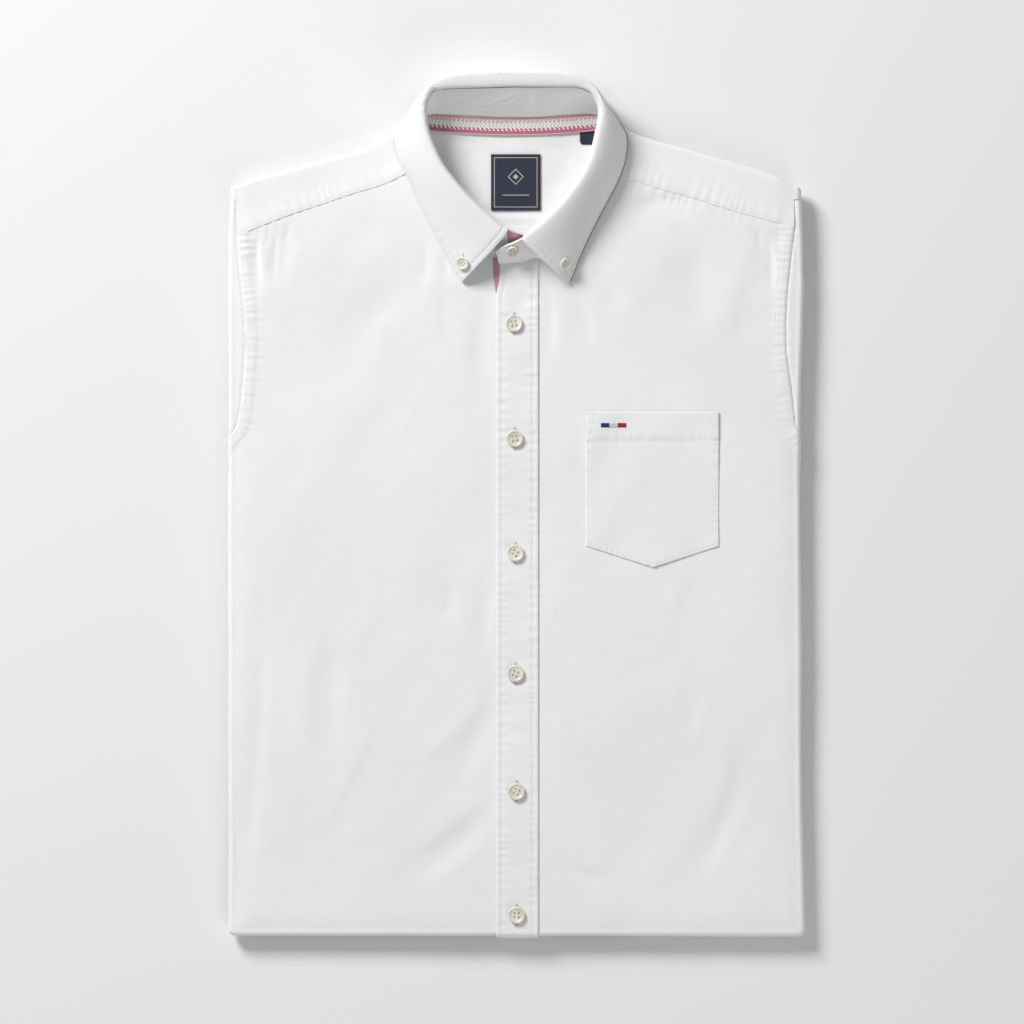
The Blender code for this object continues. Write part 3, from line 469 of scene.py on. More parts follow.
@dataclass(frozen=True)
class Stack:
    """The folded stack's outer face, over the flat and round its rolled edges.

    Attributes:
        roll_radius: Radius of the rolled edge, in millimetres.
        roll_angle: How far round the cloth shows, in radians.
        bottom_y: Where the bottom fold is.
        crown: How much higher the middle is than the sides.
        cloth: The cloth's thickness.
        gap: The gap between layers.
        fall: How far the top eases down before the rolled edge.
        shoulder: Over what distance it does so.
        ease_end: Where that easing ends round the roll, in radians.
        squareness: 2 for a round roll, more for a flatter one.
        neck_centre: The middle of the neck.
        corner_reach: How far from its corners the top outline is rounded.
        inner_gap: How much lower the inner yoke lies than the next layer would.
        sag: How far the inner yoke sags inside the neck.
        sag_reach: How far in from the neck seam the sag is full.
    """

    roll_radius: float = 5.5
    roll_angle: float = math.radians(168)
    bottom_y: float = -335.0
    crown: float = 1.4
    cloth: float = 1.2
    gap: float = 0.35
    fall: float = 0.9
    shoulder: float = 15.0
    ease_end: float = 1.57
    squareness: float = 3.4
    neck_centre: tuple[float, float] = (-3.5, 255.0)
    corner_reach: float = 7.0
    inner_gap: float = 0.1
    sag: float = 1.8
    sag_reach: float = 45.0

    @property
    def roll_length(self) -> float:
        """Length of cloth round the rolled edge."""
        return self.roll_radius * self.roll_angle

    def side_edge(self, x: Array, y: Array) -> Array:
        """The outline's distance from the middle on the side that x is on."""
        return np.where(np.asarray(x) < 0, table_at(SIDE_RIGHT, y), table_at(SIDE_LEFT, y))

    def height(self, x: Array, y: Array) -> Array:
        """The plain height of the top, without folds."""
        across = np.minimum(np.abs(x) / (self.side_edge(x, y) - self.roll_radius), 1)
        return table_at(TOP_HEIGHT, y) + self.crown * np.cos(across * math.pi / 2) ** 2

    def folds(self, x: Array, y: Array) -> Array:
        """The height of the placed folds and of the cloth's slow unevenness.

        Args:
            x: Places across, in millimetres.
            y: Places along, in millimetres.

        Returns:
            Heights in millimetres.
        """
        x, y = np.asarray(x, float), np.asarray(y, float)
        across, along = x - 0.55 * y, 0.5 * y + 0.2 * x
        total = sum(amount * noise.at(across, along) for noise, amount in UNEVENNESS)
        half = self.side_edge(x, np.maximum(y, self.bottom_y)) - self.roll_radius
        past = np.maximum(np.abs(x) - half, self.bottom_y + self.roll_radius - y)
        onset = np.clip(1 + past / self.shoulder, 0, 1) ** 2
        total = total - self.fall * onset * np.cos(np.clip(past / self.roll_radius, 0, self.ease_end))
        for crease in CREASES:
            total = total + crease.relief(x, y)
        return total

    def top_edge(self, x: Array) -> Array:
        """Where the top outline is, at a place across."""
        return soft_table_at(TOP_OUTLINE, x, self.corner_reach)

    def points(self, a: Array, b: Array, rise: Array | float = 0.0) -> Array:
        """Places on the stack.

        Args:
            a: Distances across the unrolled top sheet, in millimetres.
            b: Distances along it.
            rise: How far above the plain outer face, folds included.

        Returns:
            Points in millimetres, with a last axis of three.
        """
        a, b, rise = np.broadcast_arrays(np.asarray(a, float), np.asarray(b, float),
                                         np.asarray(rise, float))
        bottom_line = self.bottom_y + self.roll_radius
        half = self.side_edge(a, np.maximum(b, bottom_line)) - self.roll_radius
        foot_x = np.clip(a, -half, half)
        top_line = self.top_edge(foot_x) - self.roll_radius
        foot_y = np.clip(b, bottom_line, top_line)
        over_x, over_y = a - foot_x, b - foot_y
        size = np.maximum(np.hypot(over_x, over_y), 1e-9)
        angle = np.maximum(np.abs(over_x), np.abs(over_y)) / self.roll_radius
        square = (np.abs(np.cos(angle)) ** self.squareness
                  + np.abs(np.sin(angle)) ** self.squareness) ** (-1 / self.squareness)
        radius = self.roll_radius * square + rise
        out = radius * np.sin(angle)
        centre = self.height(foot_x, foot_y) - self.roll_radius
        return np.stack([foot_x + over_x / size * out, foot_y + over_y / size * out,
                         centre + radius * np.cos(angle)], axis=-1)

    @cached_property
    def neck_polar(self) -> tuple[Array, Array]:
        """The neck seam round its centre.

        Returns:
            Angles in rising order, and the seam's distance at each.
        """
        loop = np.array([(0.0, 190.8)] + [row[:2] for row in COLLAR[1:-1]])
        offset = loop - np.array(self.neck_centre)
        angles = np.arctan2(offset[:, 1], offset[:, 0])
        order = np.argsort(angles)
        return angles[order], np.hypot(offset[:, 0], offset[:, 1])[order]

    def neck_radius(self, angle: Array) -> Array:
        """The neck seam's distance from its centre at an angle."""
        angles, radii = self.neck_polar
        return np.interp(angle, angles, radii, period=2 * math.pi)

    def inside_neck(self, x: Array, y: Array) -> Array:
        """How far inside the neck seam a place is, negative outside."""
        dx, dy = x - self.neck_centre[0], y - self.neck_centre[1]
        return self.neck_radius(np.arctan2(dy, dx)) - np.hypot(dx, dy)

    def inner_height(self, x: Array, y: Array) -> Array:
        """The height of the inner yoke's upper face."""
        sag = self.sag * smoothstep(self.inside_neck(x, y) / self.sag_reach)
        return self.height(x, y) - self.cloth - self.gap - self.inner_gap - sag


STACK = Stack()


def refine(grid: Array, step: float) -> Array:
    """Adds rows and columns to a coarse grid of places.

    Args:
        grid: Rows and columns of places.
        step: The largest distance to leave between neighbours, in millimetres.

    Returns:
        A finer grid on the same straight-line surface.
    """
    for axis in (0, 1):
        lengths = np.linalg.norm(np.diff(grid, axis=axis), axis=-1).max(axis=1 - axis)
        at = [0.0]
        for k, length in enumerate(lengths):
            count = max(1, math.ceil(length / step))
            at.extend(k + (j + 1) / count for j in range(count))
        at = np.array(at)
        low = np.minimum(at.astype(int), grid.shape[axis] - 2)
        share = at - low
        shape = (-1, 1, 1) if axis == 0 else (1, -1, 1)
        share = share.reshape(shape)
        grid = np.take(grid, low, axis) * (1 - share) + np.take(grid, low + 1, axis) * share
    return grid


def places_from_edge(inner: tuple, outer: tuple, flat_columns: int, lip: float) -> list:
    """Places from inner to outer, the last few round the rolled edge.

    Args:
        inner: The first place.
        outer: The last place.
        flat_columns: How many steps to take before the roll.
        lip: Length of cloth in the roll.

    Returns:
        A list of places.
    """
    inner, outer = np.array(inner, float), np.array(outer, float)
    length = float(np.linalg.norm(outer - inner))
    rolled = min(lip, 0.75 * length)
    at = [*np.linspace(0, length - rolled, flat_columns + 1),
          *np.linspace(length - rolled, length, 5)[1:]]
    return [inner + (outer - inner) * d / length for d in at]


def seam_line(seam: Table) -> list[tuple[float, float]]:
    """A yoke seam as evenly spaced points, from the neck to the armhole.

    Args:
        seam: The seam's table.

    Returns:
        Points on it, x and y in millimetres.
    """
    rows = sorted(seam, key=lambda p: abs(p[0]))
    places = places_from_edge(rows[0], rows[-1], 16, 14.4)
    return [(p[0], float(soft_table_at(sorted(seam), p[0], 9.0))) for p in places]


def offset_path(path: Table | Array, distance: float) -> tuple[tuple[float, float], ...]:
    """Moves a line sideways.

    Args:
        path: The line's points.
        distance: How far to move it, positive to its left.

    Returns:
        The moved line's points.
    """
    points = np.asarray(path, float)
    tangent = np.gradient(points, axis=0)
    normal = np.stack([-tangent[:, 1], tangent[:, 0]], axis=1)
    normal /= np.linalg.norm(normal, axis=1, keepdims=True)
    return tuple((float(x), float(y)) for x, y in points + normal * distance)


def round_edge(distance: Array, radius: float) -> Array:
    """How far a folded edge curves down.

    Args:
        distance: Distances in from the edge, in millimetres.
        radius: Radius of the fold.

    Returns:
        Depths in millimetres, 0 beyond the radius.
    """
    inward = np.clip(radius - distance, 0, radius)
    return radius - np.sqrt(radius**2 - inward**2)


def bezier(points: tuple[Array, Array, Array, Array], t: Array) -> Array:
    """Follows a cubic Bezier curve.

    Args:
        points: The four control points.
        t: Where along the curve, from 0 to 1.

    Returns:
        One point a row.
    """
    p0, p1, p2, p3 = points
    t = t[:, None]
    return (1 - t)**3 * p0 + 3 * (1 - t)**2 * t * p1 + 3 * (1 - t) * t**2 * p2 + t**3 * p3


def arc_lengths(points: Array, axis: int) -> Array:
    """Measures along the rows or columns of a grid of points.

    Args:
        points: The grid, with a last axis of coordinates.
        axis: The axis to walk along.

    Returns:
        The distance from the first point of each line.
    """
    steps = np.linalg.norm(np.diff(points, axis=axis), axis=-1)
    start = np.zeros_like(np.take(steps, [0], axis))
    return np.concatenate([start, np.cumsum(steps, axis=axis)], axis=axis)


def walked_along(line: Array) -> Array:
    """How far each of a line's points is from its first, along the line."""
    return np.r_[0, np.cumsum(np.linalg.norm(np.diff(line, axis=0), axis=1))]


def point_at(line: Array, walked: Array, at: float) -> list[float]:
    """The point that lies some way along a line of three coordinates."""
    return [float(np.interp(at, walked, line[:, k])) for k in range(3)]


def mesh_from(name: str, shape: bmesh.types.BMesh) -> bpy.types.Mesh:
    """Turns a worked shape into a mesh.

    Args:
        name: The mesh's name.
        shape: The shape, which is freed.

    Returns:
        The mesh.
    """
    mesh = bpy.data.meshes.new(name)
    shape.to_mesh(mesh)
    shape.free()
    return mesh


def put_in_scene(name: str, content: bpy.types.ID) -> bpy.types.Object:
    """Makes an object and links it to the scene.

    Args:
        name: The object's name.
        content: Its mesh, light or camera.

    Returns:
        The object.
    """
    item = bpy.data.objects.new(name, content)
    bpy.context.scene.collection.objects.link(item)
    return item


def grid_mesh(name: str, points: Array, uv: Array) -> bpy.types.Mesh:
    """Makes a mesh from a grid of points.

    Args:
        name: The mesh's name.
        points: Rows and columns of points in millimetres.
        uv: The cloth's own flat coordinates for them, in millimetres.

    Returns:
        The mesh, in metres, with its flat coordinates in the layer named cloth.
    """
    rows, columns = points.shape[:2]
    grid = bmesh.new()
    bmesh.ops.create_grid(grid, x_segments=columns - 1, y_segments=rows - 1, size=1)
    mesh = mesh_from(name, grid)
    made = np.empty(rows * columns * 3)
    mesh.vertices.foreach_get("co", made)
    made = made.reshape(-1, 3)
    order = np.lexsort((np.round(made[:, 0], 5), np.round(made[:, 1], 5)))
    places = np.empty_like(made)
    places[order] = (points.reshape(-1, 3) + FRAME_SHIFT) * MM
    mesh.vertices.foreach_set("co", places.ravel())
    spots = np.empty((rows * columns, 2))
    spots[order] = uv.reshape(-1, 2) * MM
    corners = np.empty(len(mesh.loops), int)
    mesh.loops.foreach_get("vertex_index", corners)
    layer = mesh.uv_layers.new(name="cloth")
    layer.data.foreach_set("uv", spots[corners].ravel())
    mesh.update()
    return mesh


def add_rim(mesh: bpy.types.Mesh, depth: float) -> None:
    """Turns a sheet's outer edges down into a thin wall.

    Args:
        mesh: The sheet.
        depth: How deep the wall is, in millimetres.
    """
    sheet = bmesh.new()
    sheet.from_mesh(mesh)
    sheet.normal_update()
    ring = [edge for edge in sheet.edges if edge.is_boundary]
    made = bmesh.ops.extrude_edge_only(sheet, edges=ring)["geom"]
    for vertex in [item for item in made if isinstance(item, bmesh.types.BMVert)]:
        source = next(edge.other_vert(vertex) for edge in vertex.link_edges
                      if not edge.is_boundary)
        top = [face for face in source.link_faces if vertex not in face.verts
               and not any(edge.is_boundary for edge in face.edges)]
        normal = sum((face.normal for face in top), Vector()) if top else source.normal
        vertex.co -= normal.normalized() * depth * MM
    sheet.to_mesh(mesh)
    sheet.free()


def thicken(mesh: bpy.types.Mesh, thickness: float, offset: float = -1.0) -> bpy.types.Mesh:
    """Gives a sheet a closed thickness.

    Args:
        mesh: The sheet.
        thickness: Its thickness in millimetres.
        offset: -1 for a wall below the sheet, 0 for a wall on both sides.

    Returns:
        A new mesh.
    """
    carrier = put_in_scene("carrier", mesh)
    wall = carrier.modifiers.new("wall", "SOLIDIFY")
    wall.thickness = thickness * MM
    wall.offset = offset
    graph = bpy.context.evaluated_depsgraph_get()
    made = bpy.data.meshes.new_from_object(carrier.evaluated_get(graph))
    bpy.data.objects.remove(carrier)
    return made


def show(name: str, mesh: bpy.types.Mesh, material: bpy.types.Material,
         node: str | None = None, sharp: float = 50.0) -> bpy.types.Object:
    """Shows a mesh as a piece that rides on the shirt.

    Args:
        name: The piece's name.
        mesh: Its mesh, in place.
        material: Its finish.
        node: The solid that it replaces, if any.
        sharp: Edges steeper than this many degrees stay sharp.

    Returns:
        The shown object.
    """
    mesh.materials.clear()
    mesh.materials.append(material)
    mesh.shade_smooth()
    mesh.set_sharp_from_angle(angle=math.radians(sharp))
    mesh.name = name
    piece = put_in_scene(name, mesh)
    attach(piece, "root")
    if node:
        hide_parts(node)
    return piece


class Signal:
    """A number in a material's node tree that ordinary arithmetic builds on."""

    def __init__(self, graph: "ShaderGraph", socket: bpy.types.NodeSocket) -> None:
        """Wraps a socket.

        Args:
            graph: The node tree it belongs to.
            socket: The socket that gives the number.
        """
        self.graph = graph
        self.socket = socket

    def math(self, operation: str, *values: "Signal | float") -> "Signal":
        """Applies a Math node.

        Args:
            operation: The node's operation.
            values: All its inputs in order, this signal included.

        Returns:
            The result.
        """
        inputs = dict(enumerate(values))
        node = self.graph.node("ShaderNodeMath", {"operation": operation}, inputs)
        return Signal(self.graph, node.outputs[0])

    def __add__(self, other: "Signal | float") -> "Signal":
        """The sum of two signals."""
        return self.math("ADD", self, other)

    def __radd__(self, other: float) -> "Signal":
        """The sum of a number and the signal."""
        return self.math("ADD", other, self)

    def __sub__(self, other: "Signal | float") -> "Signal":
        """The signal less another."""
        return self.math("SUBTRACT", self, other)

    def __rsub__(self, other: float) -> "Signal":
        """A number less the signal."""
        return self.math("SUBTRACT", other, self)

    def __mul__(self, other: "Signal | float") -> "Signal":
        """The product of two signals."""
        return self.math("MULTIPLY", self, other)

    def __rmul__(self, other: float) -> "Signal":
        """The product of a number and the signal."""
        return self.math("MULTIPLY", other, self)

    def __mod__(self, other: "Signal | float") -> "Signal":
        """What is left past whole steps."""
        return self.math("FLOORED_MODULO", self, other)

    def __rmod__(self, other: float) -> "Signal":
        """What is left of a number past whole steps of the signal."""
        return self.math("FLOORED_MODULO", other, self)

    def __abs__(self) -> "Signal":
        """The signal without its sign."""
        return self.math("ABSOLUTE", self)

    def __gt__(self, other: "Signal | float") -> "Signal":
        """1 where the signal is the larger, 0 elsewhere."""
        return self.math("GREATER_THAN", self, other)

    def __lt__(self, other: "Signal | float") -> "Signal":
        """1 where the signal is the smaller, 0 elsewhere."""
        return self.math("LESS_THAN", self, other)

    def sine(self) -> "Signal":
        """The sine of the signal."""
        return self.math("SINE", self)

    def least(self, other: "Signal | float") -> "Signal":
        """The smaller of two signals."""
        return self.math("MINIMUM", self, other)

    def most(self, other: "Signal | float") -> "Signal":
        """The larger of two signals."""
        return self.math("MAXIMUM", self, other)

    def between(self, low: float, high: float) -> "Signal":
        """1 where the signal lies between two values, 0 elsewhere."""
        return (self > low) * (self < high)

    def ease(self, low: float, high: float) -> "Signal":
        """Eases the signal from 0 to 1 with level ends.

        Args:
            low: Where it is still 0.
            high: Where it is 1.

        Returns:
            The eased signal.
        """
        inputs = {0: self, 1: low, 2: high}
        node = self.graph.node("ShaderNodeMapRange", {"interpolation_type": "SMOOTHSTEP"}, inputs)
        return Signal(self.graph, node.outputs[0])


Colour = tuple[float, float, float]


class ShaderGraph:
    """A material's node tree round its Principled shader."""

    def __init__(self, name: str) -> None:
        """Starts a material.

        Args:
            name: The material's name.
        """
        self.material = bpy.data.materials.new(name)
        self.material.use_nodes = True
        self.tree = self.material.node_tree
        self.shader = self.tree.nodes["Principled BSDF"]

    def node(self, kind: str, settings: dict | None = None,
             inputs: dict | None = None) -> bpy.types.Node:
        """Adds a node.

        Args:
            kind: The node's type.
            settings: Its properties, set before anything is linked.
            inputs: Values or links for its sockets, by name or number.

        Returns:
            The node.
        """
        made = self.tree.nodes.new(kind)
        for key, value in (settings or {}).items():
            setattr(made, key, value)
        for key, value in (inputs or {}).items():
            self.feed(made.inputs[key], value)
        return made

    def feed(self, socket: bpy.types.NodeSocket, value: object) -> None:
        """Links or sets a socket.

        Args:
            socket: The socket to feed.
            value: A signal, another socket or a plain value.
        """
        source = value.socket if isinstance(value, Signal) else value
        if isinstance(source, bpy.types.NodeSocket):
            self.tree.links.new(source, socket)
        elif socket.type == "RGBA":
            socket.default_value = (*source, 1.0)
        else:
            socket.default_value = source

    def flat_coordinates(self) -> tuple[Signal, Signal]:
        """Reads the cloth's own coordinates.

        Returns:
            Millimetres across and along.
        """
        layer = self.node("ShaderNodeUVMap", {"uv_map": "cloth"})
        parts = self.node("ShaderNodeSeparateXYZ", inputs={0: layer.outputs[0]})
        return Signal(self, parts.outputs[0]) * PER_METRE, Signal(self, parts.outputs[1]) * PER_METRE

    def noise(self, scale: float, detail: float = 2.0) -> Signal:
        """Soft noise over the object's own coordinates.

        Args:
            scale: How many patches a metre.
            detail: How many finer levels it has.

        Returns:
            Values about 0.5.
        """
        place = self.node("ShaderNodeTexCoord").outputs["Object"]
        made = self.node("ShaderNodeTexNoise", inputs={"Vector": place, "Scale": scale,
                                                       "Detail": detail})
        return Signal(self, made.outputs[0])

    def mix(self, factor: Signal | float, first: object, second: object) -> bpy.types.NodeSocket:
        """Mixes two colours.

        Args:
            factor: 0 for the first, 1 for the second.
            first: A colour or a colour socket.
            second: Another.

        Returns:
            The mixed colour's socket.
        """
        made = self.node("ShaderNodeMix", {"data_type": "RGBA"}, {0: factor, 6: first, 7: second})
        return made.outputs[2]

    def bump(self, height: Signal, distance: float, strength: float = 1.0) -> None:
        """Feeds a height to the shader's normal.

        Args:
            height: The height, about 1 high.
            distance: What a height of 1 stands for, in metres.
            strength: How much of it to show.
        """
        made = self.node("ShaderNodeBump", inputs={"Height": height, "Distance": distance,
                                                   "Strength": strength})
        self.feed(self.shader.inputs["Normal"], made.outputs[0])

    def constants(self, values: dict[str, float]) -> None:
        """Sets plain values on the shader.

        Args:
            values: The values, by socket name.
        """
        for key, value in values.items():
            self.shader.inputs[key].default_value = value


@dataclass(frozen=True)
class Poplin:
    """Plain cotton shirt cloth.

    Attributes:
        name: The material's name.
        colour: Its colour.
        contrast: The colour of a contrast facing at the sheet's first end.
        facing: How long that facing is, in millimetres, 0 for none.
        thread: Spacing of its threads, in millimetres.
        crumple: How much its small creases stand out against the threads.
    """

    name: str = "shirt_poplin"
    colour: Colour = (0.875, 0.875, 0.88)
    contrast: Colour = (0.66, 0.34, 0.40)
    facing: float = 0.0
    thread: float = 0.42
    crumple: float = 11.0

    def build(self) -> bpy.types.Material:
        """Makes the material.

        Returns:
            The material.
        """
        graph = ShaderGraph(self.name)
        u, v = graph.flat_coordinates()
        turn = 2 * math.pi / self.thread
        weave = (u * turn).sine() * (v * turn).sine()
        cloudy = graph.noise(9.0, 3.0).ease(0.3, 0.7)
        dim = tuple(0.965 * part for part in self.colour)
        tint = graph.mix(cloudy, dim, self.colour)
        if self.facing:
            tint = graph.mix(u.between(0.0, self.facing), tint, self.contrast)
        graph.feed(graph.shader.inputs["Base Color"], tint)
        grain = graph.noise(420.0, 2.0)
        crumple = graph.noise(55.0, 6.0)
        graph.bump(weave * 0.5 + grain * 1.2 + crumple * self.crumple, 0.00005, 0.6)
        graph.constants({"Roughness": 0.86, "Sheen Weight": 0.12, "Sheen Roughness": 0.45,
                         "Specular IOR Level": 0.22})
        return graph.material


@dataclass(frozen=True)
class TapeCloth:
    """Woven tape: a pale herringbone between a light pink edge and a deeper pink band.

    Attributes:
        name: The material's name.
        deep: The colour of the lower band.
        pink: The colour of the upper edge.
        beige: The colour of the herringbone's darker threads.
        pale: The colour of its paler threads.
        lower_band: Where the deep band lies, in millimetres from the lower edge.
        lower_dots: Where the deep dots above it lie.
        upper_dots: Where the pink dots lie.
        upper_band: Where the pink band lies.
        upper_line: Where the deep line in it lies.
        half_zigzag: Height of half a zigzag.
        slant_step: Spacing of the herringbone's slanted lines.
        dot_step: Spacing of the dots.
        dot_length: Length of a dot.
    """

    name: str = "neck_tape_cloth"
    deep: Colour = (0.52, 0.13, 0.21)
    pink: Colour = (0.72, 0.41, 0.48)
    beige: Colour = (0.60, 0.53, 0.49)
    pale: Colour = (0.88, 0.85, 0.83)
    lower_band: tuple[float, float] = (0.4, 3.1)
    lower_dots: tuple[float, float] = (3.1, 5.1)
    upper_dots: tuple[float, float] = (9.3, 11.0)
    upper_band: tuple[float, float] = (11.2, 13.6)
    upper_line: tuple[float, float] = (12.2, 13.0)
    half_zigzag: float = 1.6
    slant_step: float = 3.0
    dot_step: float = 3.4
    dot_length: float = 1.8

    def build(self) -> bpy.types.Material:
        """Makes the material.

        Returns:
            The material.
        """
        graph = ShaderGraph(self.name)
        u, v = graph.flat_coordinates()
        zigzag = abs((v % (2 * self.half_zigzag)) - self.half_zigzag)
        slant = (u + zigzag * 1.1) % self.slant_step
        tint = graph.mix((slant < 1.4) * 0.6, self.pale, self.beige)
        dots = (((u + v * 0.6) % self.dot_step) < self.dot_length) * v.between(*self.lower_dots)
        tint = graph.mix(dots, tint, self.deep)
        twill = ((u + v) % 1.8) < 0.8
        band = graph.mix(twill * 0.25, self.deep, self.pink)
        tint = graph.mix(v.between(*self.lower_band), tint, band)
        dots = (((u - v * 0.6) % self.dot_step) < self.dot_length) * v.between(*self.upper_dots)
        tint = graph.mix(dots, tint, self.pink)
        top_band = graph.mix(twill * 0.5, self.pink, self.pale)
        tint = graph.mix(v.between(*self.upper_band), tint, top_band)
        line = (((u % 2.4) < 1.5) * v.between(*self.upper_line)) * 0.8
        tint = graph.mix(line, tint, self.deep)
        graph.feed(graph.shader.inputs["Base Color"], tint)
        graph.bump((slant * (2 * math.pi / 1.2)).sine(), 0.00009, 0.8)
        graph.constants({"Roughness": 0.8, "Sheen Weight": 0.15, "Specular IOR Level": 0.25})
        return graph.material


@dataclass(frozen=True)
class PlainCloth:
    """Cloth of one colour with a fine rib.

    Attributes:
        name: The material's name.
        colour: Its colour.
        roughness: Its roughness.
        rib: Spacing of its ribs, in millimetres.
    """

    name: str
    colour: Colour
    roughness: float = 0.8
    rib: float = 0.5

    def build(self) -> bpy.types.Material:
        """Makes the material.

        Returns:
            The material.
        """
        graph = ShaderGraph(self.name)
        u, v = graph.flat_coordinates()
        ribs = (v * (2 * math.pi / self.rib)).sine() + (u * (2 * math.pi / self.rib)).sine() * 0.4
        graph.feed(graph.shader.inputs["Base Color"], self.colour)
        graph.bump(ribs, 0.00005, 0.7)
        graph.constants({"Roughness": self.roughness, "Sheen Weight": 0.1,
                         "Specular IOR Level": 0.25})
        return graph.material


@dataclass(frozen=True)
class WovenLabel:
    """A navy woven label with a thin border and a row of plain lozenges.

    Attributes:
        name: The material's name.
        width: The label's width, in millimetres.
        height: Its height.
        ground: Its colour.
        figure: The colour of what is woven into it.
    """

    name: str = "neck_label_weave"
    width: float = 38.6
    height: float = 43.8
    ground: Colour = (0.022, 0.026, 0.052)
    figure: Colour = (0.60, 0.57, 0.47)

    def build(self) -> bpy.types.Material:
        """Makes the material.

        Returns:
            The material.
        """
        graph = ShaderGraph(self.name)
        u, v = graph.flat_coordinates()
        side = u.least(self.width - u).least(v.least(self.height - v))
        border = side.between(2.4, 2.95)
        lozenge = abs(u - self.width / 2) + abs(v - 0.60 * self.height)
        ring = lozenge.between(5.4, 6.3).most(lozenge.between(0.0, 2.2))
        bar = v.between(11.6, 12.3) * u.between(9.0, self.width - 9.0)
        figure = border.most(ring).most(bar)
        tint = graph.mix(figure * 0.85, self.ground, self.figure)
        graph.feed(graph.shader.inputs["Base Color"], tint)
        ribs = (v * (2 * math.pi / 0.42)).sine() + (u * (2 * math.pi / 0.7)).sine() * 0.3
        graph.bump(ribs + figure * 0.8, 0.00005, 0.8)
        graph.constants({"Roughness": 0.62, "Sheen Weight": 0.1, "Specular IOR Level": 0.35})
        return graph.material


@dataclass(frozen=True)
class SatinBar:
    """Close satin stitches in three blocks of colour.

    Attributes:
        name: The material's name.
        width: The bar's width, in millimetres.
        blue: The colour of its first block.
        white: The colour of its middle block.
        red: The colour of its last block.
    """

    name: str = "flag_bar_satin"
    width: float = 19.5
    blue: Colour = (0.012, 0.035, 0.24)
    white: Colour = (0.76, 0.77, 0.80)
    red: Colour = (0.47, 0.012, 0.018)

    def build(self) -> bpy.types.Material:
        """Makes the material.

        Returns:
            The material.
        """
        graph = ShaderGraph(self.name)
        u, _ = graph.flat_coordinates()
        tint = graph.mix(u > self.width / 3, self.blue, self.white)
        tint = graph.mix(u > self.width * 2 / 3, tint, self.red)
        graph.feed(graph.shader.inputs["Base Color"], tint)
        graph.bump(abs((u * (math.pi / 0.32)).sine()), 0.00016, 0.9)
        graph.constants({"Roughness": 0.38, "Sheen Weight": 0.1})
        return graph.material


@dataclass(frozen=True)
class ButtonResin:
    """Ivory button resin with a soft cloudy depth.

    Attributes:
        name: The material's name.
        colour: Its colour.
        cloud: The colour of its paler clouds.
    """

    name: str = "button_resin"
    colour: Colour = (0.70, 0.665, 0.54)
    cloud: Colour = (0.83, 0.80, 0.70)

    def build(self) -> bpy.types.Material:
        """Makes the material.

        Returns:
            The material.
        """
        graph = ShaderGraph(self.name)
        tint = graph.mix(graph.noise(160.0, 3.0).ease(0.35, 0.65), self.colour, self.cloud)
        graph.feed(graph.shader.inputs["Base Color"], tint)
        graph.constants({"Roughness": 0.42, "Coat Weight": 0.25, "Coat Roughness": 0.2})
        return graph.material


@dataclass(frozen=True)
class Paint:
    """A plain matt colour.

    Attributes:
        name: The material's name.
        colour: Its colour.
        roughness: Its roughness.
    """

    name: str
    colour: Colour
    roughness: float = 0.75

    def build(self) -> bpy.types.Material:
        """Makes the material.

        Returns:
            The material.
        """
        graph = ShaderGraph(self.name)
        graph.feed(graph.shader.inputs["Base Color"], self.colour)
        graph.constants({"Roughness": self.roughness, "Specular IOR Level": 0.3})
        return graph.material


class Finishes:
    """Every material of the shirt, made once."""

    def __init__(self) -> None:
        """Makes the materials, named for the piece or the cloth that wears them."""
        navy = WovenLabel.ground
        self.cloth = Poplin().build()
        # The stand's cloth is painted lighter than the rest of the shirt's poplin: painted light that
        # brightens its shaded inside, not a different cloth.
        self.stand = Poplin("stand_poplin_painted_lighter", (0.93, 0.93, 0.93), facing=15.0).build()
        self.contrast = PlainCloth("band_tape_cloth", (0.64, 0.33, 0.385)).build()
        self.facing = PlainCloth("leaf_facing_cloth", (0.50, 0.37, 0.37)).build()
        self.tape = TapeCloth().build()
        self.label = WovenLabel().build()
        self.tab = PlainCloth("size_tab_weave", navy, roughness=0.62).build()
        self.flag = SatinBar().build()
        self.button = ButtonResin().build()
        self.thread = Paint("white_thread", (0.74, 0.75, 0.78)).build()


@dataclass(frozen=True)
class Stitching:
    """Rows of separate stitches.

    Attributes:
        pitch: Distance between stitches, in millimetres.
        length: Length of one stitch.
        radius: Radius of the thread.
        lift: How far the thread lies above the given line.
    """

    pitch: float = 2.3
    length: float = 1.75
    radius: float = 0.17
    lift: float = 0.06

    def build(self, name: str, paths: list[Array], finishes: Finishes) -> bpy.types.Object:
        """Sews along every path.

        Args:
            name: The name of the piece that holds all the stitches.
            paths: Lines of points in millimetres.
            finishes: The shirt's materials.

        Returns:
            The shown object.
        """
        sewn = bmesh.new()
        half = 0.5 * self.length
        for path in paths:
            walked = walked_along(path)
            count = max(1, int(walked[-1] / self.pitch))
            for centre in (np.arange(count) + 0.5) * walked[-1] / count:
                self.add(sewn, Vector(point_at(path, walked, centre - half)),
                         Vector(point_at(path, walked, centre + half)))
        return show(name, mesh_from(name, sewn), finishes.thread, sharp=180.0)

    def add(self, sewn: bmesh.types.BMesh, start: Vector, end: Vector) -> None:
        """Adds one stitch.

        Args:
            sewn: The mesh that it is added to.
            start: One end, in millimetres.
            end: The other end.
        """
        middle = (start + end) / 2 + Vector(FRAME_SHIFT) + Vector((0, 0, self.lift))
        turn = (end - start).to_track_quat("Z", "Y").to_matrix().to_4x4()
        size = Matrix.Diagonal((self.radius * MM, self.radius * MM,
                                (end - start).length / 2 * MM, 1.0))
        place = Matrix.Translation(middle * MM) @ turn @ size
        bmesh.ops.create_uvsphere(sewn, u_segments=6, v_segments=4, radius=1.0, matrix=place)


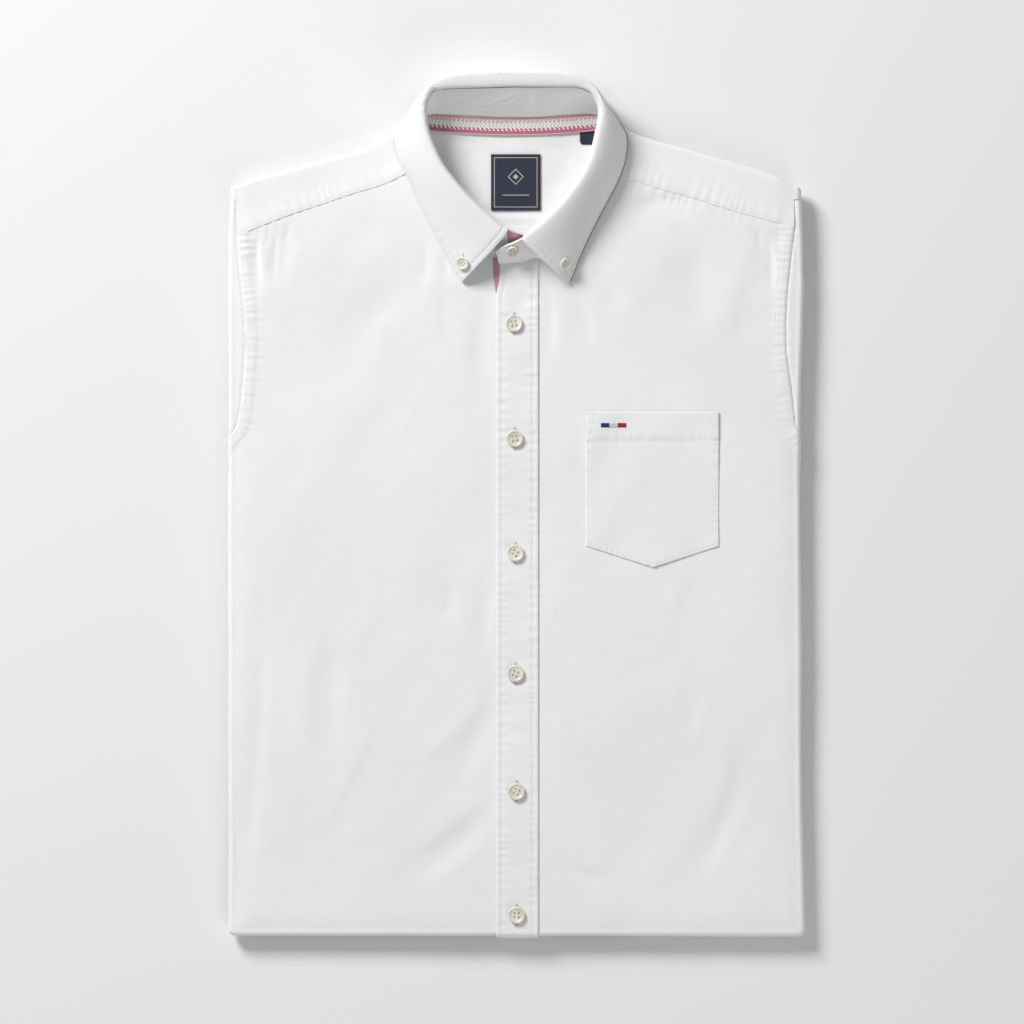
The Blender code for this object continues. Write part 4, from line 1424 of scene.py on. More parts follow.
@dataclass
class Piece:
    """Something of the shirt that has materials to draw on.

    Attributes:
        finishes: The shirt's materials.
    """

    finishes: Finishes

    def rimmed(self, label: str, points: Array, uv: Array,
               depth: float = RIM) -> bpy.types.Object:
        """Shows a sheet of shirt cloth with its edges turned down.

        Args:
            label: The solid that it replaces.
            points: Rows and columns of points in millimetres.
            uv: The cloth's own flat coordinates for them.
            depth: How deep its turned edges are.

        Returns:
            The shown object.
        """
        mesh = grid_mesh(label, points, uv)
        add_rim(mesh, depth)
        return show(f"shirt_{label}", mesh, self.finishes.cloth, label)


@dataclass
class StackedCloth(Piece):
    """A piece of cloth that lies on the stack and follows its folds."""

    def rise(self, a: Array, b: Array) -> Array:
        """How far the shown cloth lies above the plain stack."""
        return STACK.folds(a, b)

    def over(self, a: Array, b: Array) -> Array:
        """The shown cloth's points at places on the unrolled sheet."""
        return STACK.points(a, b, self.rise(a, b))


@dataclass
class FoldedLayers(Piece):
    """The hidden layers, shown only as rounded cloth edges round the stack.

    Attributes:
        layers: Top and bottom of each layer as shares of the height, and how far in it lies.
        side_steps: How many columns go along each side.
        top_steps: How many go along the top.
        bottom_steps: How many go along the bottom.
        turn_steps: How many go round a corner, and how many rows round a layer's edge.
        corner_y: Where the sides end.
        bulge: How far the edge of a layer stands out.
        sway: How far the edges wander in and out.
        bottom_inset: How much further in the layers lie at the bottom.
        lid_inset: How much further in the first row lies, under the fronts.
    """

    layers: Table = ((1.06, 0.80, 6.6), (0.78, 0.56, 5.4), (0.54, 0.33, 6.3), (0.31, 0.0, 5.9))
    side_steps: int = 200
    top_steps: int = 190
    bottom_steps: int = 160
    turn_steps: int = 9
    corner_y: float = 245.0
    bulge: float = 1.5
    sway: float = 0.9
    bottom_inset: float = 2.6
    lid_inset: float = 3.0

    def outline(self) -> tuple[Array, Array]:
        """Walks round the foot of the rolled edge.

        Returns:
            The foot points and the outward directions.
        """
        r = STACK.roll_radius
        low = STACK.bottom_y + r
        feet, ways = [], []

        def corner(x: float, y: float, start: float) -> None:
            """Turns the direction a quarter round one foot point.

            Args:
                x: The foot's place across.
                y: Its place along.
                start: The first direction, in degrees.
            """
            for turn in np.linspace(start, start - 90, self.turn_steps)[1:-1]:
                feet.append((x, y))
                ways.append((math.cos(math.radians(turn)), math.sin(math.radians(turn))))

        def side(x_sign: int, y: float) -> float:
            """The foot's place across at one place along."""
            return x_sign * (float(STACK.side_edge(x_sign, y)) - r)

        def top(x: float) -> float:
            """The foot's place along at one place across."""
            return float(STACK.top_edge(x)) - r

        left_x, right_x = side(-1, self.corner_y), side(1, self.corner_y)
        for y in np.linspace(low, top(left_x), self.side_steps):
            feet.append((side(-1, y), y))
            ways.append((-1.0, 0.0))
        corner(left_x, top(left_x), 180.0)
        for x in np.linspace(left_x, right_x, self.top_steps):
            feet.append((x, top(x)))
            ways.append((0.0, 1.0))
        corner(right_x, top(right_x), 90.0)
        for y in np.linspace(top(right_x), low, self.side_steps):
            feet.append((side(1, y), y))
            ways.append((1.0, 0.0))
        corner(side(1, low), low, 0.0)
        for x in np.linspace(side(1, low), side(-1, low), self.bottom_steps):
            feet.append((x, low))
            ways.append((0.0, -1.0))
        corner(side(-1, low), low, -90.0)
        return np.array(feet), np.array(ways)

    def build(self) -> bpy.types.Object:
        """Builds and dresses the piece.

        Returns:
            The shown object.
        """
        feet, ways = self.outline()
        feet = np.vstack([feet, feet[:1]])
        ways = np.vstack([ways, ways[:1]])
        full = STACK.height(feet[:, 0], feet[:, 1]) - 2 * STACK.roll_radius
        sway = SoftNoise(41, 48.0)
        below = self.bottom_inset * (ways[:, 1] < -0.5)
        rings = []
        for k, (high, low, inset) in enumerate(self.layers):
            shift = self.sway * sway.at(feet[:, 0] + 97 * k, feet[:, 1] - 53 * k)
            for turn in np.linspace(90, -90, self.turn_steps):
                share = (high + low) / 2 + (high - low) / 2 * math.sin(math.radians(turn))
                bulge = self.bulge * (1 - math.cos(math.radians(turn)))
                reach = STACK.roll_radius - inset + shift - bulge - below
                reach = reach - (self.lid_inset if k == 0 and turn > 80 else 0.0)
                rings.append(np.column_stack([feet + ways * reach[:, None],
                                              np.maximum(full * share, 0.0)]))
        rings[-1][:, 2] = 0.0
        points = np.array(rings[::-1])
        around = walked_along(feet)
        uv = np.stack(np.broadcast_arrays(around[None, :], points[..., 2]), axis=-1)
        mesh = grid_mesh("folded_layers", points, uv)
        solid = bmesh.new()
        solid.from_mesh(mesh)
        bmesh.ops.remove_doubles(solid, verts=solid.verts, dist=1e-5)
        bmesh.ops.holes_fill(solid, edges=[e for e in solid.edges if e.is_boundary], sides=0)
        bmesh.ops.recalc_face_normals(solid, faces=solid.faces)
        solid.to_mesh(mesh)
        solid.free()
        return show("shirt_folded_layers", mesh, self.finishes.cloth, "folded_layers")


@dataclass
class FrontPanel(StackedCloth):
    """One front of the shirt, rolled under at its side and at the bottom fold.

    Attributes:
        label: The side's name.
        side: -1 for the wearer's right, 1 for the left.
        armhole: The armhole seam.
        seam: The yoke seam.
        step: Spacing of the shown mesh, in millimetres.
        band: Width of the armhole's stitched band.
        band_lift: How much thicker the band is.
        columns: How many steps a table row takes before the roll.
    """

    label: str
    side: int
    armhole: Table
    seam: Table
    step: float = 1.55
    band: float = 8.4
    band_lift: float = 0.5
    columns: int = 7

    def rows(self) -> list[float]:
        """The places along the front where its table rows lie.

        Returns:
            Distances along the unrolled sheet, in millimetres.
        """
        low = STACK.bottom_y + STACK.roll_radius
        curl = [low - STACK.roll_length * (1 - k / 6) for k in range(6)]
        body = list(np.linspace(low, 36, 13))
        armhole = [44, 52, 58, 63.2, 82, 103, 122, 142.7, 166.5, 190.4, 201]
        return curl + body + armhole + sorted(y for _, y in seam_line(self.seam))

    def neck_edge(self, y: float) -> float:
        """How far across the inner edge is.

        Args:
            y: A place along the front.

        Returns:
            Its place across, in millimetres.
        """
        centre = np.array(STACK.neck_centre)
        ring = [(0.3 * self.side, 188.8)]
        for row in COLLAR:
            offset = np.array(row[:2]) - centre
            length = float(np.hypot(*offset))
            x, ring_y = centre + offset * (length - 2.0) / length
            if x * self.side > 0 and ring_y < 270:
                ring.append((x, ring_y))
        ring.sort(key=lambda p: p[1])
        return float(np.interp(y, [p[1] for p in ring], [p[0] for p in ring]))

    def outer_edge(self, y: float) -> float:
        """How far across the outer edge is.

        Args:
            y: A place along the front.

        Returns:
            Its place across the unrolled sheet, in millimetres.
        """
        rising = sorted((p[1], p[0]) for p in seam_line(self.seam))
        if y >= rising[0][0]:
            return float(table_at(rising, y))
        if y <= self.armhole[0][0]:
            line = max(y, STACK.bottom_y + STACK.roll_radius)
            half = float(STACK.side_edge(self.side, line)) - STACK.roll_radius
            return self.side * (half + STACK.roll_length)
        return self.side * float(table_at(self.armhole, y))

    def places(self) -> Array:
        """The front's fine grid of places on the unrolled sheet.

        Returns:
            Rows and columns of places, in millimetres.
        """
        grid = []
        for y in self.rows():
            row = places_from_edge((self.neck_edge(y), y), (self.outer_edge(y), y), self.columns,
                                   STACK.roll_length)
            grid.append(row if self.side > 0 else row[::-1])
        return refine(np.array(grid), self.step)

    def armhole_path(self) -> tuple[tuple[float, float], ...]:
        """The armhole seam as a line from its foot to its top."""
        return tuple((self.side * across, along) for along, across in self.armhole)

    def band_path(self) -> tuple[tuple[float, float], ...]:
        """The armhole's topstitched line."""
        return offset_path(self.armhole_path(), self.side * self.band)

    def rise(self, a: Array, b: Array) -> Array:
        """How far the shown cloth lies above the plain stack.

        Args:
            a: Distances across the unrolled sheet, in millimetres.
            b: Distances along it.

        Returns:
            Heights in millimetres.
        """
        distance, _ = SeamLine(self.armhole_path()).locate(a, b)
        inside = np.abs(distance)
        total = super().rise(a, b)
        total = total + self.band_lift * (1 - smoothstep((inside - self.band - 0.2) / 1.4))
        above = smoothstep((b - 44) / 6)
        total = total - above * round_edge(inside, 0.8)
        middle = offset_path(self.armhole_path(), 0.6 * self.side * self.band)
        rows = (
            PuckerRow(middle, groove=0.0, pucker=0.26, pitch=6.3, reach=6.0, seed=31 + self.side),
            PuckerRow(self.band_path(), groove=0.32, pucker=0.12, pitch=6.3, reach=8.0,
                      seed=35 + self.side),
            PuckerRow(tuple(seam_line(self.seam)), groove=0.10, pucker=0.17, pitch=9.0,
                      reach=10.0, seed=71 + self.side),
        )
        for row in rows:
            total = total + above * row.relief(a, b)
        return total

    def build(self) -> bpy.types.Object:
        """Builds and dresses the piece.

        Returns:
            The shown object.
        """
        places = self.places()
        return self.rimmed(self.label, self.over(places[..., 0], places[..., 1]), places)

    def stitch_path(self) -> Array:
        """The armhole's topstitching.

        Returns:
            Points on the cloth.
        """
        seam_end = seam_line(self.seam)[-1][1]
        path = np.array([p for p in self.band_path() if 45 < p[1] < seam_end])
        return self.over(*smooth_path(path, 160).T)


@dataclass
class Yoke(StackedCloth):
    """The outer yoke, sewn over both fronts and rolled over the shoulders.

    Attributes:
        step: Spacing of the shown mesh, in millimetres.
        stitch: How far in from the seam its topstitching runs.
        lap: How far it reaches over the seam.
    """

    step: float = 1.5
    stitch: float = 2.2
    lap: float = 0.7

    def sections(self) -> list[list[Array]]:
        """The yoke's sections round the neck.

        Returns:
            The sections, each a list of places from the neck edge outward.
        """
        past_top = STACK.roll_length - STACK.roll_radius
        ends = [
            ((-80.0, 274.0), (-218.3, 226.0)),
            ((-81.8, 281.0), (-218.3, 239.8)),
            ((-81.7, 285.0), (-226.5, 240.6)),
            ((-81.3, 288.4), (-234.2, 243.0)),
            ((-80.8, 290.8), (-234.2, 252.0)),
            ((-80.0, 293.2), (-234.2, 261.8)),
            ((-79.2, 295.2), (-224.0, 262.0)),
        ]
        upper = ((-78, 296.8, -210.6), (-76.5, 299.0, -175.5), (-74.5, 300.8, -137.3),
                 (-72, 302.4, -118.6), (-67, 304.2, -96), (-60, 305.6, -80), (-45, 305.4, -62),
                 (-22, 304.5, -28), (0, 303.9, 0), (22, 304.5, 28), (42, 305.4, 56),
                 (53, 305.6, 72), (61, 304.6, 88), (66, 302.2, 109.2), (69, 299.6, 144.3),
                 (71.3, 296.8, 175.5), (72.4, 294.4, 204.4))
        ends += [((x, y), (end, float(table_at(TOP_OUTLINE, end)) + past_top))
                 for x, y, end in upper]
        ends += [
            ((72.9, 292.8), (222.0, 261.0)),
            ((73.4, 291.2), (231.6, 260.9)),
            ((73.7, 289.2), (231.6, 251.5)),
            ((73.9, 287.0), (231.6, 243.0)),
            ((74.0, 283.0), (223.5, 240.6)),
            ((74.0, 279.0), (216.2, 239.8)),
            ((72.4, 270.0), (216.2, 230.0)),
        ]
        sections = [places_from_edge(inner, outer, 16, STACK.roll_length)
                    for inner, outer in ends]
        for seam, first, order in ((YOKE_SEAM_RIGHT, 0, 1), (YOKE_SEAM_LEFT, -1, -1)):
            line = seam_line(seam)
            (x0, y0), (x1, y1) = line[0], line[-1]
            bows = [y - y0 - (y1 - y0) * (x - x0) / (x1 - x0) for x, y in line]
            for step, fade in ((0, 0.6), (1, 0.25)):
                k = first + order * step
                sections[k] = [p + np.array([0.0, fade * bow])
                               for p, bow in zip(sections[k], bows)]
            edge = [np.array([x, y - self.lap]) for x, y in line]
            sections.insert(0 if order > 0 else len(sections), edge)
        return sections

    def rise(self, a: Array, b: Array) -> Array:
        """How far the shown cloth lies above the plain stack.

        Args:
            a: Distances across the unrolled sheet, in millimetres.
            b: Distances along it.

        Returns:
            Heights in millimetres.
        """
        total = super().rise(a, b)
        for k, seam in enumerate((YOKE_SEAM_RIGHT, YOKE_SEAM_LEFT)):
            path = tuple((x, y - self.lap) for x, y in sorted(seam_line(seam)))
            distance, _ = SeamLine(path).locate(a, b)
            above = np.abs(distance)
            total = total + 0.75 * np.exp(-(above / 9.0) ** 2) - 0.35 * round_edge(above, 0.9)
            stitched = PuckerRow(offset_path(path, self.stitch), groove=0.26, pucker=0.27,
                                 pitch=8.6, reach=12.0, seed=51 + k)
            total = total + stitched.relief(a, b)
        return total

    def build(self) -> bpy.types.Object:
        """Builds and dresses the piece.

        Returns:
            The shown object.
        """
        sections = self.sections()
        grid = np.array([[section[k] for section in sections] for k in range(len(sections[0]))])
        places = refine(grid, self.step)
        return self.rimmed("yoke", self.over(places[..., 0], places[..., 1]), places)

    def stitch_paths(self) -> list[Array]:
        """The topstitching above both seams.

        Returns:
            Two lines of points on the cloth.
        """
        paths = []
        for seam in (YOKE_SEAM_RIGHT, YOKE_SEAM_LEFT):
            line = [(x, y - self.lap) for x, y in sorted(seam_line(seam)) if abs(x) < 217]
            path = smooth_path(np.array(offset_path(line, self.stitch)), 160)
            paths.append(self.over(*path.T))
        return paths


@dataclass
class InnerYoke(Piece):
    """The inside of the yoke, which shows through the neck.

    Attributes:
        ridge_y: Where a doubled edge lies across it.
        stitch_y: Where a line is stitched across it.
        ridge: How much higher the cloth lies below that edge.
        tuck: How far it runs on under the neck seam.
        creases: Its folds.
    """

    ridge_y: float = 227.1
    stitch_y: float = 220.4
    ridge: float = 0.7
    tuck: float = 2.0
    creases: tuple[Crease, ...] = (
        Crease(((-52, 262), (-38, 246), (-26, 229)), -0.8, 5.0),
        Crease(((46, 262), (36, 243), (24, 228)), 0.6, 5.0),
        Crease(((-60, 284), (-40, 280), (-24, 283)), 0.5, 4.0),
        Crease(((24, 284), (38, 276), (44, 262)), -0.6, 4.5),
    )

    def rise(self, x: Array, y: Array) -> Array:
        """How far the cloth lies above its plain height.

        Args:
            x: Places across, in millimetres.
            y: Places along.

        Returns:
            Heights in millimetres.
        """
        total = 0.25 * SoftNoise(61, 22.0).at(x, y)
        for crease in self.creases:
            total = total + crease.relief(x, y)
        total = total + self.ridge * smoothstep((self.ridge_y - y) / 1.2 + 0.5)
        line = PuckerRow(((-40, self.stitch_y), (40, self.stitch_y)), groove=0.3, pucker=0.1,
                         pitch=5.5, reach=3.0, seed=63)
        return total + line.relief(x, y)

    def height(self, x: Array, y: Array) -> Array:
        """The shown height of the inner yoke."""
        return STACK.inner_height(x, y) + self.rise(x, y)

    def build(self) -> bpy.types.Object:
        """Builds and dresses the piece.

        Returns:
            The shown object.
        """
        v, u = np.meshgrid(np.linspace(-1, 1, 100), np.linspace(-1, 1, 110), indexing="ij")
        disc_x, disc_y = u * np.sqrt(1 - v * v / 2), v * np.sqrt(1 - u * u / 2)
        angle = np.arctan2(disc_y, disc_x)
        reach = np.hypot(disc_x, disc_y) * (STACK.neck_radius(angle) + self.tuck)
        x = STACK.neck_centre[0] + reach * np.cos(angle)
        y = STACK.neck_centre[1] + reach * np.sin(angle)
        y = np.minimum(y, table_at(TOP_OUTLINE, x) - STACK.roll_radius - 2.5)
        points = np.stack([x, y, self.height(x, y)], axis=-1)
        return self.rimmed("yoke_inner", points, points[..., :2], 0.8)

    def stitch_path(self) -> Array:
        """The stitched line across the inner yoke.

        Returns:
            Points on the cloth.
        """
        x = np.linspace(-34, 30, 80)
        y = np.full_like(x, self.stitch_y)
        return np.stack([x, y, self.height(x, y)], axis=-1)


@dataclass
class Sleeve(Piece):
    """The sliver of sleeve between the armhole seam and the side roll.

    Attributes:
        label: The side's name.
        side: -1 for the wearer's right, 1 for the left.
        armhole: The armhole seam.
        tuck: How far it runs on under the front.
        sunk: How much lower it lies at the seam.
        stations: The places along it where its table rows lie.
        step: Spacing of the shown mesh.
    """

    label: str
    side: int
    armhole: Table
    tuck: float = 1.2
    sunk: float = 0.7
    stations: tuple[float, ...] = (47.0, 52, 58, 63.2, 82, 103, 122, 142.7, 166.5, 190.4, 201,
                                   211.9, 219, 226, 239.2)
    step: float = 1.2

    def build(self) -> bpy.types.Object:
        """Builds and dresses the piece.

        Returns:
            The shown object.
        """
        grid = []
        for y in self.stations:
            inner = self.side * (float(table_at(self.armhole, y)) - self.tuck)
            outer = self.side * (float(STACK.side_edge(self.side, y)) - STACK.roll_radius
                                 + STACK.roll_length)
            row = [(a, y) for a in np.linspace(inner, outer, 7)]
            grid.append(row if self.side > 0 else row[::-1])
        places = refine(np.array(grid), self.step)
        a, b = places[..., 0], places[..., 1]
        seam = SeamLine(tuple((self.side * across, along) for along, across in self.armhole))
        distance, along = seam.locate(a, b)
        outside = np.abs(distance) * np.where(distance * self.side < 0, 1.0, -1.0)
        tucked = self.sunk * (1 - smoothstep((outside + 0.2) / 2.2))
        ripple = 0.12 * pucker_wave(along, 6.8, 81 + self.side) * np.exp(-(outside / 4.5) ** 2)
        rise = STACK.folds(a, b) - tucked + ripple
        return self.rimmed(self.label, STACK.points(a, b, rise), places)


@dataclass
class Placket(StackedCloth):
    """The buttoned strip down the middle, with a stitched line inside each edge.

    Attributes:
        lift: How far its outer face lies above the fronts.
        thickness: Depth of its turned edges, in millimetres.
        tuck: How far it runs on under the stand.
        button_dent: How far the cloth gives under a button.
        top_dip: How deep it dips between the top two buttons.
        step: Spacing of the shown mesh along it.
        opening: Its left edge near the collar, where it gives way to the band: y, x.
    """

    lift: float = 1.45
    thickness: float = 1.1
    tuck: float = 4.5
    button_dent: float = 0.35
    top_dip: float = 0.7
    step: float = 0.95
    opening: Table = ((150.0, PLACKET_LEFT), (166.0, PLACKET_LEFT), (175.0, -13.9), (187.0, -13.7),
                      (193.0, -14.4))

    def left_edge(self, y: Array) -> Array:
        """Where the strip's left edge is, at a place along it."""
        return soft_table_at(self.opening, y, 4.0)

    def stitch_lines(self) -> tuple[Table, Table]:
        """Both stitched lines.

        Returns:
            The left and the right line, on the unrolled sheet.
        """
        foot = -350.0
        along = np.r_[foot, np.linspace(self.opening[0][0], PLACKET_TOP, 12)]
        left = tuple(zip(self.left_edge(along) + PLACKET_STITCH, along))
        right = PLACKET_RIGHT - PLACKET_STITCH
        return left, ((right, foot), (right, PLACKET_TOP))

    def rise(self, a: Array, b: Array) -> Array:
        """How far the shown cloth lies above the plain stack.

        Args:
            a: Distances across the unrolled sheet, in millimetres.
            b: Distances along it.

        Returns:
            Heights in millimetres.
        """
        total = self.lift + super().rise(a, b)
        edge = np.minimum(a - self.left_edge(b), PLACKET_RIGHT - a)
        total = total - round_edge(edge, 1.0)
        for k, line in enumerate(self.stitch_lines()):
            stitched = PuckerRow(line, groove=0.34, pucker=0.18, pitch=7.4, reach=5.2,
                                 seed=91 + k)
            total = total + stitched.relief(a, b)
        for x, y in PLACKET_BUTTONS:
            near = np.hypot(a - x, (b - y) * 0.8)
            total = total - self.button_dent * np.exp(-(near / 8.0) ** 2)
        dip = np.hypot((a - 6) / 9, (b - 162) / 7)
        crumple = 0.2 * SoftNoise(95, 8.0).at(0.35 * a, b)
        crumple = crumple + 0.12 * SoftNoise(97, 15.0).at(a, 0.6 * b)
        return total - self.top_dip * np.exp(-dip ** 2) + crumple * smoothstep(edge / 3)

    def build(self) -> bpy.types.Object:
        """Builds and dresses the piece.

        Returns:
            The shown object.
        """
        low = STACK.bottom_y + STACK.roll_radius - STACK.roll_length
        inset = np.array([0.0, 0.25, 0.6, 1.0])
        middle = np.linspace(PLACKET_LEFT + 1.9, PLACKET_RIGHT - 1.9, 33)
        across = np.r_[PLACKET_LEFT + inset, middle, PLACKET_RIGHT - inset[::-1]]
        along = np.arange(low, PLACKET_TOP + self.tuck, self.step)
        b, a = np.meshgrid(along, across, indexing="ij")
        give = self.left_edge(b) - PLACKET_LEFT
        a = a + give * (PLACKET_RIGHT - a) / (PLACKET_RIGHT - PLACKET_LEFT)
        return self.rimmed("placket", self.over(a, b), np.stack([a, b], axis=-1),
                           self.thickness)

    def stitch_paths(self) -> list[Array]:
        """Both stitched lines.

        Returns:
            Lines of points on the cloth.
        """
        along = np.linspace(STACK.bottom_y, PLACKET_TOP - 2, 500)
        paths = []
        for line in self.stitch_lines():
            across = np.interp(along, [p[1] for p in line], [p[0] for p in line])
            paths.append(self.over(across, along))
        return paths


@dataclass
class ButtonBand(Piece):
    """The sliver of contrast tape beside the placket's upper end.

    Attributes:
        rows: Its shape: y, left edge, right edge.
        lift: How far it lies above the front.
    """

    rows: Table = ((167.4, -16.6, -15.2), (171.5, -17.2, -13.6), (178.0, -17.9, -12.2),
                   (186.0, -18.5, -12.0), (193.5, -18.6, -12.4))
    lift: float = 0.9

    def build(self) -> bpy.types.Object:
        """Builds and dresses the piece.

        Returns:
            The shown object.
        """
        rows = smooth_path(np.array(self.rows), 24)
        grid = [[(left + (right - left) * f, y) for f in (0.0, 0.25, 0.5, 0.75, 1.0)]
                for y, left, right in rows]
        places = refine(np.array(grid), 0.8)
        a, b = places[..., 0], places[..., 1]
        rise = self.lift + STACK.folds(a, b) - round_edge(a - a[:, :1], 0.5)
        points = STACK.points(a, b, rise)
        mesh = grid_mesh("button_band", points, places)
        add_rim(mesh, 0.6)
        return show("shirt_button_band", mesh, self.finishes.contrast, "button_band")


@dataclass
class Collar(Piece):
    """The collar band and the leaf that turns down over it.

    Attributes:
        stations: How many columns go round the collar.
        leaf_thickness: The leaf's thickness, in millimetres.
        stand_thickness: The stand's thickness.
        topstitch: How far in from the leaf's edge its stitching runs.
        facing_from: The place across past which its facing shows.
    """

    stations: int = 420
    leaf_thickness: float = 1.3
    stand_thickness: float = 1.6
    topstitch: float = 4.6
    facing_from: float = 40.0

    def table(self, count: int) -> Array:
        """The collar's table as smooth rows.

        Args:
            count: How many rows to make.

        Returns:
            The rows, with the height of every resting edge worked out.
        """
        rows = np.array(COLLAR)
        lying = rows[:, 9] == 0
        rest = STACK.height(rows[:, 7], rows[:, 8]) + STACK.folds(rows[:, 7], rows[:, 8])
        rest = rest + self.leaf_thickness + STACK.gap
        rows[:, 9] = np.where(lying, rest, rows[:, 9])
        return smooth_path(rows, count)

    def inward(self, rows: Array) -> Array:
        """The level direction from the fold towards the neck.

        Args:
            rows: The collar's rows.

        Returns:
            One direction a row.
        """
        tangent = np.gradient(rows[:, 2:4], axis=0)
        normal = np.stack([tangent[:, 1], -tangent[:, 0]], axis=1)
        return normal / np.linalg.norm(normal, axis=1, keepdims=True)

    def leaf_points(self) -> Array:
        """The leaf's plain outer face.

        Returns:
            Points by profile row and station.
        """
        rows = self.table(self.stations)
        inward = self.inward(rows)
        up = np.array([0.0, 0.0, 1.0])
        profiles = []
        for row, way in zip(rows, inward):
            n = np.array([way[0], way[1], 0.0])
            fold, edge = row[2:5], row[7:10]
            start = fold + n * row[5] - up * row[6]
            spread = float(np.linalg.norm((edge - fold)[:2]))
            reach = 2.5 + 5.0 * float(smoothstep((spread - 8) / 12))
            hang = 8.0 if row[9] > 18 else 12.0
            rise = bezier((start, start + up * row[6] * 0.7, fold + n * row[5] * 0.45, fold),
                          np.linspace(0, 1, 9))
            fall = bezier((fold, fold - n * reach, edge + up * hang, edge),
                          np.r_[np.linspace(0, 0.9, 34)[1:], np.linspace(0.9, 1, 14)[1:]])
            profiles.append(np.vstack([rise, fall]))
        return np.array(profiles).transpose(1, 0, 2)

    def surface_normals(self, points: Array) -> Array:
        """Unit normals on the side that faces out.

        Args:
            points: A grid of points.

        Returns:
            One normal a point.
        """
        down = np.gradient(points, axis=0)
        along = np.gradient(points, axis=1)
        normal = np.cross(along, down)
        return normal / np.maximum(np.linalg.norm(normal, axis=-1, keepdims=True), 1e-9)

    def leaf_sheet(self) -> tuple[Array, Array, Array]:
        """The leaf's shown face.

        Returns:
            Its points, its flat coordinates and the distances from its edges.
        """
        points = self.leaf_points()
        down = arc_lengths(points, 0)
        along = arc_lengths(points, 1)
        to_edge = down[-1:, :] - down
        to_end = np.minimum(along, along[:, -1:] - along)
        inside = np.minimum(to_edge, to_end)
        uv = np.stack([np.broadcast_to(along[-1:, :], down.shape), down], axis=-1)
        walk = np.where(to_edge < to_end, along[-1:, :], down + 700)
        relief = 0.3 * SoftNoise(101, 26.0).at(uv[..., 0], uv[..., 1])
        back = smoothstep((points[..., 1] - 296) / 12) * np.exp(-((down - 7) / 6) ** 2)
        relief = relief + 0.24 * back * pucker_wave(along, 8.2, 105)
        ripple = pucker_wave(walk, 6.4, 103)
        off = inside - self.topstitch
        relief = relief - 0.42 * np.exp(-(off / 0.8) ** 2)
        relief = relief + 0.12 * ripple * np.exp(-(off / 4.0) ** 2)
        relief = relief - 0.6 * round_edge(inside, 0.9)
        normals = self.surface_normals(points)
        return points + normals * relief[..., None], uv, inside

    def build_leaf(self) -> bpy.types.Object:
        """Builds and dresses the leaf.

        Returns:
            The shown object.
        """
        points, uv, _ = self.leaf_sheet()
        mesh = thicken(grid_mesh("collar_leaf", points, uv), self.leaf_thickness)
        return show("shirt_collar_leaf", mesh, self.finishes.cloth, "collar_leaf")

    def build_facing(self) -> bpy.types.Object:
        """Builds the sliver of contrast facing that shows past the leaf's outer edge.

        Returns:
            The shown object.
        """
        points, _, _ = self.leaf_sheet()
        shaded = np.flatnonzero(points[-1, :-6, 0] > self.facing_from)
        edge, inner = points[-1, shaded], points[-8, shaded]
        outward = (edge - inner) * np.array([1.0, 1.0, 0.0])
        outward /= np.linalg.norm(outward, axis=1, keepdims=True)
        share = np.linspace(0, 1, len(shaded))[:, None]
        shown = 0.1 + 0.5 * smoothstep(share / 0.3) * smoothstep((1 - share) / 0.3)
        profile = ((-1.4, -0.75), (0.0, -0.8), (0.6 * shown, -0.85), (shown, -1.0))
        sheet = np.array([edge + outward * reach + np.array([0.0, 0.0, drop])
                          for reach, drop in profile])
        along = arc_lengths(sheet, 1)
        uv = np.stack([along, arc_lengths(sheet, 0)], axis=-1)
        mesh = thicken(grid_mesh("collar_facing", sheet, uv), 0.3)
        return show("collar_facing", mesh, self.finishes.facing)

    def stand_sheet(self, count: int = 300) -> tuple[Array, Array]:
        """The stand's middle face.

        Args:
            count: How many columns go round it.

        Returns:
            Its points and its flat coordinates.
        """
        rows = self.table(len(COLLAR))
        inward = self.inward(rows)
        stations = [list(row) for row in STAND_UNDER_END]
        for row, n in zip(rows, inward):
            top = row[2:4] + n * row[5]
            stations.append([row[0], row[1], top[0], top[1], row[4] - row[6] - 1.25])
        stations += [list(row) for row in STAND_OVER_END]
        path = smooth_path(np.array(stations), count)
        neck_x, neck_y = path[:, 0], path[:, 1]
        over = smoothstep((22 - np.abs(neck_x)) / 6) * smoothstep((204 - neck_y) / 6)
        foot = np.stack([neck_x, neck_y, STACK.height(neck_x, neck_y) + 1.1 + 1.6 * over], axis=-1)
        top = path[:, 2:5]
        share = np.linspace(0, 1, 22)[:, None, None]
        points = foot + (top - foot) * share
        points[..., 2] += 1.2 * np.sin(math.pi * share[..., 0])
        across = arc_lengths(points, 0)
        along = arc_lengths(points, 1)
        inside = np.minimum(across, across[-1:, :] - across)
        inside = np.minimum(inside, along[:, -1:] - along)
        relief = -0.2 * np.exp(-((inside - 2.0) / 0.7) ** 2)
        relief = relief + 0.08 * pucker_wave(along, 6.0, 107) * np.exp(-((inside - 2.0) / 3) ** 2)
        slanted = along + 0.9 * across * np.sign(along - along[:, -1:] / 2)
        crumple = SoftNoise(109, 6.5).at(slanted, 0.35 * across)
        relief = relief + 0.55 * crumple * np.sin(math.pi * share[..., 0])
        points = points - self.surface_normals(points) * relief[..., None]
        return points, np.stack([along, across], axis=-1)

    def build_stand(self) -> bpy.types.Object:
        """Builds and dresses the stand.

        Returns:
            The shown object.
        """
        points, uv = self.stand_sheet()
        mesh = thicken(grid_mesh("collar_stand", points, uv), self.stand_thickness, 0.0)
        return show("shirt_collar_stand", mesh, self.finishes.stand, "collar_stand")

